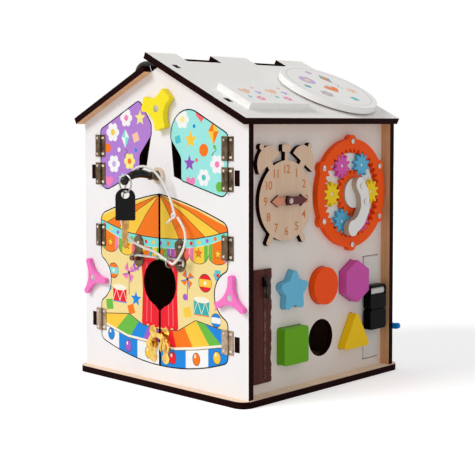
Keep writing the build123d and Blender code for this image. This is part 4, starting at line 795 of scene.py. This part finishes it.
def pennant(middle, foot, panel_tone, left_tone, right_tone):
    """A starred panel between two narrow strips, hung from the band."""
    arc = [math.pi * k / 16 for k in range(17)]
    bowl = [(middle + PENNANT_HALF * math.cos(t), foot + BOWL - BOWL * math.sin(t)) for t in arc]
    sides = [middle + x for x in (-PENNANT_HALF, *STRIPS, PENNANT_HALF)]
    shapes = []
    for a, b, tone in zip(sides, sides[1:], (left_tone, panel_tone, right_tone)):
        top = [(a, height_of(BAND_FOOT, a)), (b, height_of(BAND_FOOT, b))]
        round_foot = [p for p in bowl if a < p[0] < b]
        low_right, low_left = (b, bowl_height(b, middle, foot)), (a, bowl_height(a, middle, foot))
        shapes.append((top + [low_right] + round_foot + [low_left], tone))
    shapes += stroke(bowl, THIN, "line") + star(middle, foot + 12.5, 6.6, "line")
    return shapes + star(middle, foot + 12.5, 5.4, "yellow" if panel_tone == "orange" else "orange")


def pennants():
    """Seven pennants; the middle one hangs lowest."""
    tones = [("orange", "green", "pink"), ("yellow", "green", "rose"), ("orange", "pink", "teal"),
             ("green", "yellow", "purple"), ("orange", "purple", "rose"), ("yellow", "pink", "green"),
             ("orange", "green", "pink")]
    shapes = []
    for k, three in enumerate(tones):
        middle = PENNANTS_LEFT + PENNANT_PITCH * k + PENNANT_PITCH / 2
        shapes += pennant(middle, PENNANT_FOOT + 5.0 * abs(k - 3) / 3, *three)
    return shapes


def door_motifs():
    left = (ball(-90, 136, 10, "orange", "sky") + pinwheel(-60, 136, 14, "pink", "purple")
            + drum(-78, 106, 26, 19, "red", "blue") + star(-47, 104, 10, "blue")
            + block(-98, 92, 13, "green", 8) + flower(-46, 146, 7, "purple", "yellow")
            + block(-56, 90, 12, "orange", 20) + circle(-98, 114, 4.5, "aqua"))
    right = (pinwheel(46, 138, 13, "orange", "blue") + ball(76, 136, 11, "red", "yellow")
             + drum(70, 106, 26, 19, "teal", "orange") + star(97, 112, 9, "pink")
             + block(46, 98, 12, "yellow", 12) + flower(97, 147, 7.5, "aqua", "red")
             + ball(94, 94, 8.5, "blue", "white") + circle(42, 116, 4, "purple"))
    return left + right


def stage_floor():
    """Segments that fan out towards the front; each mark is a segment's left side in front."""
    marks = [(-120, "yellow"), (-86, "green"), (-58, "blue"), (-34, "purple"), (-3, "red"),
             (27, "orange"), (56, "yellow"), (84, "green"), (104, "blue"), (120, None)]
    shapes = []
    for (left, colour), (right, _) in zip(marks, marks[1:]):
        back = [x if abs(x) == 120 else FAN * x for x in (left, right)]
        shapes += between(stretch(FLOOR_BACK, *back), stretch(FLOOR_FRONT, left, right), colour)
    return shapes + stroke(FLOOR_BACK, 1.0, "line")


def lowest_band():
    """White and blue fields with an oval on each."""
    marks = [-120, -80, -44.6, -1.7, 42.9, 81.1, 120]
    shapes = []
    for k, (left, right) in enumerate(zip(marks, marks[1:])):
        foot = [(left, PRINT_FOOT), (right, PRINT_FOOT)]
        shapes += between(stretch(FLOOR_FRONT, left, right), foot, "white" if k % 2 == 0 else "blue")
    shapes += stroke(FLOOR_FRONT, 3.0, "cream")
    shapes += stroke([(x, y - 1.9) for x, y in FLOOR_FRONT], THIN, "line")
    for x, y, colour in ((-95, 54, "blue"), (-62.3, 42.9, "purple"), (-24, 40, "yellow"),
                         (19.7, 39.1, "red"), (61, 43.6, "orange"), (95.3, 50.3, "yellow")):
        shapes += circle(x, y, 6.6, "line", squeeze=1.2) + circle(x, y, 5.9, colour, squeeze=1.2)
        shapes += spot(x - 2.0, y + 3.2, 1.5, "white", squeeze=1.5)
    return shapes


def doors_print():
    """The carousel's tent and stage, in one design for both doors."""
    return (tent_stripes() + between(BAND_FOOT, FIELD_FOOT, "field") + curtain() + sky_band()
            + pennants() + door_motifs() + stage_floor() + lowest_band())


# ---- the other prints
def purple_motifs():
    return (star(-38, 330, 10, "lemon") + flower(-64, 330, 12, "white", "pink")
            + flower(-90, 312, 13, "white", "yellow") + block(-46, 306, 11, "peach", 20)
            + kite(-66, 304, 12, "sky", "white") + circle(-100, 292, 6, "orange")
            + flower(-58, 276, 11, "lemon", "orange") + flower(-88, 272, 12, "white", "lilac")
            + star(-72, 254, 8, "sky") + heart(-98, 250, 8, "pink") + flower(-52, 252, 8, "white", "pink")
            + circle(-78, 290, 3, "white", 12) + circle(-46, 290, 2.6, "blue", 12))


def cyan_motifs():
    return (flower(38, 328, 12, "white", "lemon") + heart(70, 334, 10, "rose")
            + kite(90, 312, 14, "orange", "yellow") + star(52, 304, 11, "yellow")
            + flower(96, 276, 12, "white", "pink") + block(30, 304, 9, "aqua", 15)
            + circle(74, 292, 7.5, "orange") + star(50, 276, 10, "plum")
            + flower(74, 260, 11, "white", "aqua") + circle(100, 250, 6, "green")
            + heart(52, 254, 8, "pink") + circle(58, 320, 2.4, "blue", 12)
            + circle(92, 296, 2.4, "green", 12) + circle(62, 280, 2.4, "rose", 12))


def disc_motifs(u, v):
    ring = [polar(u, v, 58, math.pi * k / 24) for k in range(49)]
    return (stroke(ring, THIN, "grey") + flower(u - 24, v + 18, 13, "lilac", "lemon", 8)
            + kite(u + 20, v + 24, 14, "teal", "orange") + star(u + 34, v - 12, 11, "peach")
            + heart(u - 2, v - 8, 12, "orange") + flower(u - 30, v - 24, 10, "grey", "peach")
            + circle(u + 6, v + 44, 5, "lilac") + block(u + 10, v - 38, 11, "aqua", 10)
            + circle(u - 44, v - 2, 5, "teal"))


def jigsaw_motifs(u, v):
    return (heart(u - 8, v + 6, 9, "peach") + star(u + 12, v + 2, 7, "lilac")
            + flower(u + 1, v - 14, 6.5, "pink", "lemon") + spot(u - 14, v - 10, 3, "aqua")
            + spot(u + 14, v + 16, 3, "peach"))


def build_front_prints():
    design = doors_print()
    for node, slot, ground, shapes in (
            ("left_door", "left_door_print", "field", design),
            ("right_door", "right_door_print", "field", design),
            ("left_shutter", "purple_paint", "purple ground", purple_motifs()),
            ("right_shutter", "cyan_paint", "cyan ground", cyan_motifs())):
        printed(f"{node}_sheet", node, slot, -Y_AXIS, X_AXIS, Z_AXIS, ground, shapes)


def build_roof_prints():
    """Pale motifs on the roof's pieces, placed from the middle of each one's outline."""
    up = Vector((-math.cos(SLOPE), 0, math.sin(SLOPE)))
    slots = ("jigsaw_white_a", "jigsaw_white_b", "disc_white")
    for node, slot in zip(ROOF_PIECES, slots):
        loops, _ = face_loops(node, ROOF_RIGHT_N, Y_AXIS, up)
        middle = [(max(side) + min(side)) / 2 for side in zip(*[p for loop in loops for p in loop])]
        motifs = disc_motifs if node == "roof_disc" else jigsaw_motifs
        printed(f"{node}_print", node, slot, ROOF_RIGHT_N, Y_AXIS, up, "board ground", motifs(*middle))


build_front_prints()
build_roof_prints()


# ---- clock figures
CLOCK_Y, CLOCK_Z = -64.5, 232.5
FIGURE_RADIUS, FIGURE_SIZE = 36.5, 14.0
FIGURE_STROKE, FIGURE_HALF, FIGURE_STAND = 0.12, 0.06, 0.1  # extra weight, half depth, from the face


def build_figures():
    material = painted("figure ink", (214, 128, 60))
    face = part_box("clock_face")[1][0]
    for hour in range(1, 13):
        name = f"clock_figure_{hour}"
        curve = bpy.data.curves.new(name, "FONT")
        curve.body = str(hour)
        curve.size = FIGURE_SIZE * MM
        curve.align_x, curve.align_y = "CENTER", "CENTER"
        curve.extrude = FIGURE_HALF * MM
        curve.offset = FIGURE_STROKE * MM
        curve.space_character = 0.92
        angle = math.radians(30 * hour)
        place = Matrix((
            (0, 0, 1, face + FIGURE_STAND * MM),
            (1, 0, 0, (CLOCK_Y + FIGURE_RADIUS * math.sin(angle)) * MM),
            (0, 1, 0, (CLOCK_Z + FIGURE_RADIUS * math.cos(angle)) * MM),
            (0, 0, 0, 1)))
        piece(name, curve, "house", "clock_wood", material, place=place)


build_figures()


# ---- zip panel
WALL_X = 132.0  # the right wall's outer face
ZIP_LOW, ZIP_HIGH = 21.0, 154.0
ZIP_Y, ZIP_HALF, ZIP_LINE = -104.0, 18.0, -100.0  # middle, half width, and line of the teeth
TAPE_ROWS, TAPE_COLUMNS = 110, 30
TAPE_BACK, TAPE_THIN, TAPE_THICK = 0.05, 0.7, 4.0  # out from the wall
SEAM_HALF = 2.2
TEETH, TOOTH_PITCH, TOOTH_SHIFT = 55, 2.2, 0.7  # the teeth lie by turns to the left and right
TOOTH_SIZE = (0.9, 2.4, 1.1)


def ragged(rise):
    """How far the tapes' free edge strays; rise runs from 0 to 1 over the zip's height."""
    return 0.9 * math.sin(21 * rise) + 0.7 * math.sin(47 * rise + 1) + 0.35 * math.sin(90 * rise)


def tape_point(row, column, front):
    """A point of the padded front, which puckers between its stitches, or of the flat back."""
    t = column / TAPE_COLUMNS
    z = ZIP_LOW + (ZIP_HIGH - ZIP_LOW) * row / TAPE_ROWS
    edge = (2 * abs(t - 0.5)) ** 6
    stray = ragged(row / TAPE_ROWS) * (1 if t > 0.5 else 0.3)
    y = ZIP_Y - ZIP_HALF + 2 * ZIP_HALF * t + stray * edge
    if not front:
        return WALL_X + TAPE_BACK, y, z
    seam = math.exp(-((y - ZIP_LINE) / SEAM_HALF) ** 2)
    pucker = 0.55 * math.sin(0.9 * z + 3 * math.sin(0.21 * z)) * abs(2 * t - 1) ** 1.5
    pad = 3.3 * (1 - edge) ** 0.5 + 0.6 + pucker * (1 - edge) - 0.7 * seam
    return WALL_X + min(TAPE_THICK, max(TAPE_THIN, pad)), y, z


def tapes_mesh():
    width, rows, columns = TAPE_COLUMNS + 1, TAPE_ROWS, TAPE_COLUMNS
    size = width * (rows + 1)
    verts = [tape_point(k, j, front)
             for front in (True, False) for k in range(rows + 1) for j in range(width)]
    faces = []
    for k in range(rows):
        for j in range(columns):
            a = k * width + j
            quad = [a, a + 1, a + width + 1, a + width]
            faces += [quad, [size + v for v in reversed(quad)]]
    rim = list(range(width)) + [k * width + columns for k in range(1, rows + 1)]
    rim += [rows * width + j for j in reversed(range(columns))]
    rim += [k * width for k in range(rows - 1, 0, -1)]
    faces += [[b, a, a + size, b + size] for a, b in zip(rim, rim[1:] + rim[:1])]
    return mesh_of("zip_tapes", verts, faces, smooth=True)


def add_teeth(bm):
    for k in range(TEETH):
        shift = TOOTH_SHIFT if k % 2 else -TOOTH_SHIFT
        middle = (WALL_X + TAPE_THICK, ZIP_LINE + shift, ZIP_LOW + 6 + TOOTH_PITCH * k)
        for v in bmesh.ops.create_cube(bm, size=1)["verts"]:
            v.co = [(m + side * c) * MM for m, side, c in zip(middle, TOOTH_SIZE, v.co)]


def build_zip():
    """Two leather tapes in one padded piece, with a row of teeth."""
    tapes = piece("zip_tapes", tapes_mesh(), "house", "zip_leather",
                  leather("zip leather", (126, 62, 50), (78, 34, 28)))
    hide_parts("zip_panel")
    teeth = bpy.data.meshes.new("zip_teeth")
    edit_mesh(teeth, add_teeth)
    piece("zip_teeth", teeth, "house", "zip_metal", metal("zip teeth", (142, 106, 90), 0.4, (78, 50, 42)))


build_zip()


# ---- webbing strap
# A run is the strap's middle line from its slit, as distances out from the wall and heights.
STRAP_Y, STRAP_HALF, STRAP_THICK, STRAP_STEP = 107.0, 15.0, 1.6, 3
UPPER_RUN = [(-6, 151), (1.1, 151), (1.1, 111.1), (10.8, 111.1), (10.8, 104.0), (5, 104.0)]
LOWER_RUN = [(-6, 20), (1.1, 20), (1.1, 62.8), (7.6, 62.8)]
BEND = 1.6  # length on each side of a corner that its bend takes up
WEBBING = webbing("strap webbing", (244, 240, 236), Y_AXIS, Z_AXIS)


def eased(points):
    """The run with each corner turned over a short bend."""
    out = [Vector(points[0])]
    for a, b, c in zip(points, points[1:], points[2:]):
        a, b, c = Vector(a), Vector(b), Vector(c)
        r = min(BEND, (b - a).length / 2.01, (c - b).length / 2.01)
        start, end = b + (a - b).normalized() * r, b + (c - b).normalized() * r
        out += [start.lerp(b, t).lerp(b.lerp(end, t), t) for t in (0, 0.33, 0.67, 1)]
    return out + [Vector(points[-1])]


def divided(line):
    """The line with its longer runs divided, and without repeated points."""
    dense = [line[0]]
    for a, b in zip(line, line[1:]):
        steps = max(1, int((b - a).length / STRAP_STEP))
        dense += [a.lerp(b, k / steps) for k in range(1, steps + 1)]
    return [p for k, p in enumerate(dense) if k == 0 or (p - dense[k - 1]).length > 1e-4]


def strap_mesh(name, line):
    """A flat band swept along the line, with four corners at each point."""
    verts, faces = [], []
    for k, p in enumerate(line):
        ahead = line[min(k + 1, len(line) - 1)] - line[max(k - 1, 0)]
        across = Vector((-ahead.y, ahead.x)).normalized() * STRAP_THICK / 2
        for side, layer in ((-1, -1), (-1, 1), (1, 1), (1, -1)):
            q = p + across * layer
            verts.append((WALL_X + q.x, STRAP_Y + side * STRAP_HALF, q.y))
    last = 4 * (len(line) - 1)
    for a in range(0, last, 4):
        faces += [[a + j, a + (j + 1) % 4, a + 4 + (j + 1) % 4, a + 4 + j] for j in range(4)]
    faces += [[3, 2, 1, 0], [last, last + 1, last + 2, last + 3]]
    mesh = mesh_of(name, verts, faces)
    edit_mesh(mesh, lambda bm: bmesh.ops.recalc_face_normals(bm, faces=bm.faces))
    return mesh


def build_strap(name, node, run):
    line = divided(eased(run))
    length = sum((b - a).length for a, b in zip(line, line[1:]))
    obj = piece(name, strap_mesh(name, line), "house", "webbing", WEBBING)
    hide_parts(node)
    return obj


upper = build_strap("webbing_upper", "strap_upper", UPPER_RUN)
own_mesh(upper)
build_strap("webbing_lower", "strap_lower", LOWER_RUN)


# ---- cord
CORD_ROUTE = [
    (33.5, -147.5, 216.5), (28.5, -147.0, 229.0), (21.5, -148.0, 243.5), (15.0, -152.5, 257.5),
    (8.5, -159.5, 268.8), (-0.6, -167.5, 273.0), (-8.8, -174.0, 268.6), (-12.7, -180.3, 256.5),
    (-14.8, -185.0, 241.2), (-15.6, -188.3, 225.0), (-15.2, -188.8, 209.0), (-16.4, -184.0, 194.5),
    (-14.0, -174.5, 182.0), (-5.5, -163.0, 174.0), (7.5, -155.0, 169.0), (19.0, -152.5, 162.5),
    (28.5, -149.0, 156.6), (37.5, -153.6, 156.0), (46.0, -154.0, 162.0), (52.0, -150.0, 174.5),
    (53.5, -147.3, 188.5), (49.0, -147.3, 202.0), (39.0, -147.5, 212.0),
]
CORD_D = 0.003
KNOT = (34.0, -148.4, 213.5)
TAIL = [(33.0, -147.8, 213.0), (29.5, -147.6, 209.8), (25.5, -147.9, 207.6), (22.6, -147.7, 205.4)]
FIBRES, FIBRE_RADIUS = 7, 0.22


def cord_material():
    """Cotton strands that wind round the cord, with a fine fibre and painted shade between the strands."""
    s = Shader("twisted cotton")
    base = rgb(250, 246, 240)
    uv = s.node("SeparateXYZ", {"Vector": s.node("TexCoord").outputs["UV"]}).outputs
    lay = s.total((uv[0], 95.0), (uv[1], 3.0))
    strand = s.math("ABSOLUTE", s.math("SINE", s.math("MULTIPLY", lay, math.pi)))
    fibre = s.noise(s.coords(), 1500.0)
    # painted shade: the grooves between strands are darker
    tone = s.ramp(strand, [(0.0, shade(base, 0.82)), (0.3, base)])
    height = s.total((strand, 1), (fibre, 0.25))
    return s.finish(tone, 1.0, height, strength=0.35, distance=0.0003, sheen=0.05)


def cord_piece(name, points, radius, material):
    curve = bpy.data.curves.new(name, "CURVE")
    curve.dimensions = "3D"
    spline = curve.splines.new("NURBS")
    spline.points.add(len(points) - 1)
    for point, (x, y, z) in zip(spline.points, points):
        point.co = (x * MM, y * MM, z * MM, 1)
    spline.order_u = 3
    spline.use_endpoint_u = True
    spline.resolution_u = 12
    curve.bevel_depth = radius
    curve.bevel_resolution = 5
    curve.use_fill_caps = True
    return piece(name, curve, "house", "cotton_cord", material)


def knot_points():
    """About one and a half turns, whose radius and depth swing."""
    x, y, z = KNOT
    wraps = []
    for k in range(15):
        t = 2 * math.pi * k / 9
        r = 2.7 + 0.6 * math.cos(1.5 * t)
        wraps.append((x + r * math.cos(t), y - 0.6 - 0.9 * math.sin(1.5 * t), z + r * math.sin(t) * 0.9))
    return wraps


def fibre_points(k):
    """One of the loose fibres that fan out from the tail's end."""
    x, y, z = TAIL[-1]
    spread = (k - FIBRES // 2) * 0.55
    return [(x, y, z), (x - 1.8 + 0.2 * spread, y - 0.2 * (k % 3), z - 0.9 + 0.5 * spread),
            (x - 3.6, y + 0.1 * (k % 2), z - 2.2 + spread)]


def build_cord():
    cotton = cord_material()
    loop = cord_piece("cord_loop", CORD_ROUTE, CORD_D / 2, cotton)
    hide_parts("cord")
    parts = [cord_piece("cord_knot", knot_points(), CORD_D / 2 * 0.85, cotton),
             cord_piece("cord_tail", TAIL, CORD_D / 2 * 0.9, cotton)]
    parts += [cord_piece(f"cord_fray_{k + 1}", fibre_points(k), FIBRE_RADIUS * MM, cotton)
              for k in range(FIBRES)]


build_cord()


# ---- floor and light
FLOOR_LIFT = 0.42  # share of white that the floor adds where it is looked at
WHITE = (1, 1, 1, 1)


def seen_directly(nodes):
    """1 where the camera, a reflection or a see-through part looks at the surface."""
    path = nodes.node("LightPath").outputs
    value = path["Is Camera Ray"]
    for other in ("Is Glossy Ray", "Is Transmission Ray"):
        value = nodes.math("MAXIMUM", value, path[other])
    return value


def floor_material():
    material = bpy.data.materials.new("floor white")
    nodes = Nodes(material)
    lift = nodes.math("MULTIPLY", seen_directly(nodes), FLOOR_LIFT)
    body = nodes.node("BsdfDiffuse", {"Color": grey(0.9)}).outputs[0]
    glow = nodes.node("Emission", {"Strength": lift}).outputs[0]
    both = nodes.node("AddShader", {0: body, 1: glow}).outputs[0]
    nodes.node("OutputMaterial", {"Surface": both})
    return material


def build_floor():
    mesh = bpy.data.meshes.new("floor")
    edit_mesh(mesh, lambda bm: bmesh.ops.create_grid(bm, x_segments=2, y_segments=2, size=6.0))
    floor = add_object("floor", mesh)
    floor.data.materials.append(floor_material())


def build_world(level):
    """White where it is looked at, and even light of the given level everywhere else."""
    world = bpy.data.worlds.new("studio")
    bpy.context.scene.world = world
    nodes = Nodes(world)
    ambient, backdrop = (nodes.node("Background", {"Color": WHITE, "Strength": strength}).outputs[0]
                         for strength in (level, 1.0))
    mixed = nodes.node("MixShader", {0: seen_directly(nodes), 1: ambient, 2: backdrop}).outputs[0]
    nodes.node("OutputWorld", {"Surface": mixed})


def sun(name, direction, strength, angle):
    lamp = bpy.data.lights.new(name, "SUN")
    lamp.energy = strength
    lamp.angle = math.radians(angle)
    obj = add_object(name, lamp)
    obj.rotation_euler = Vector(direction).to_track_quat("-Z", "Y").to_euler()


build_floor()
build_world(level=0.46)
sun("key", direction=(0.40, 1.0, -0.80), strength=1.62, angle=25)
sun("fill", direction=(-0.9, 0.35, -0.5), strength=0.22, angle=60)
bpy.context.scene.view_settings.view_transform = "Standard"
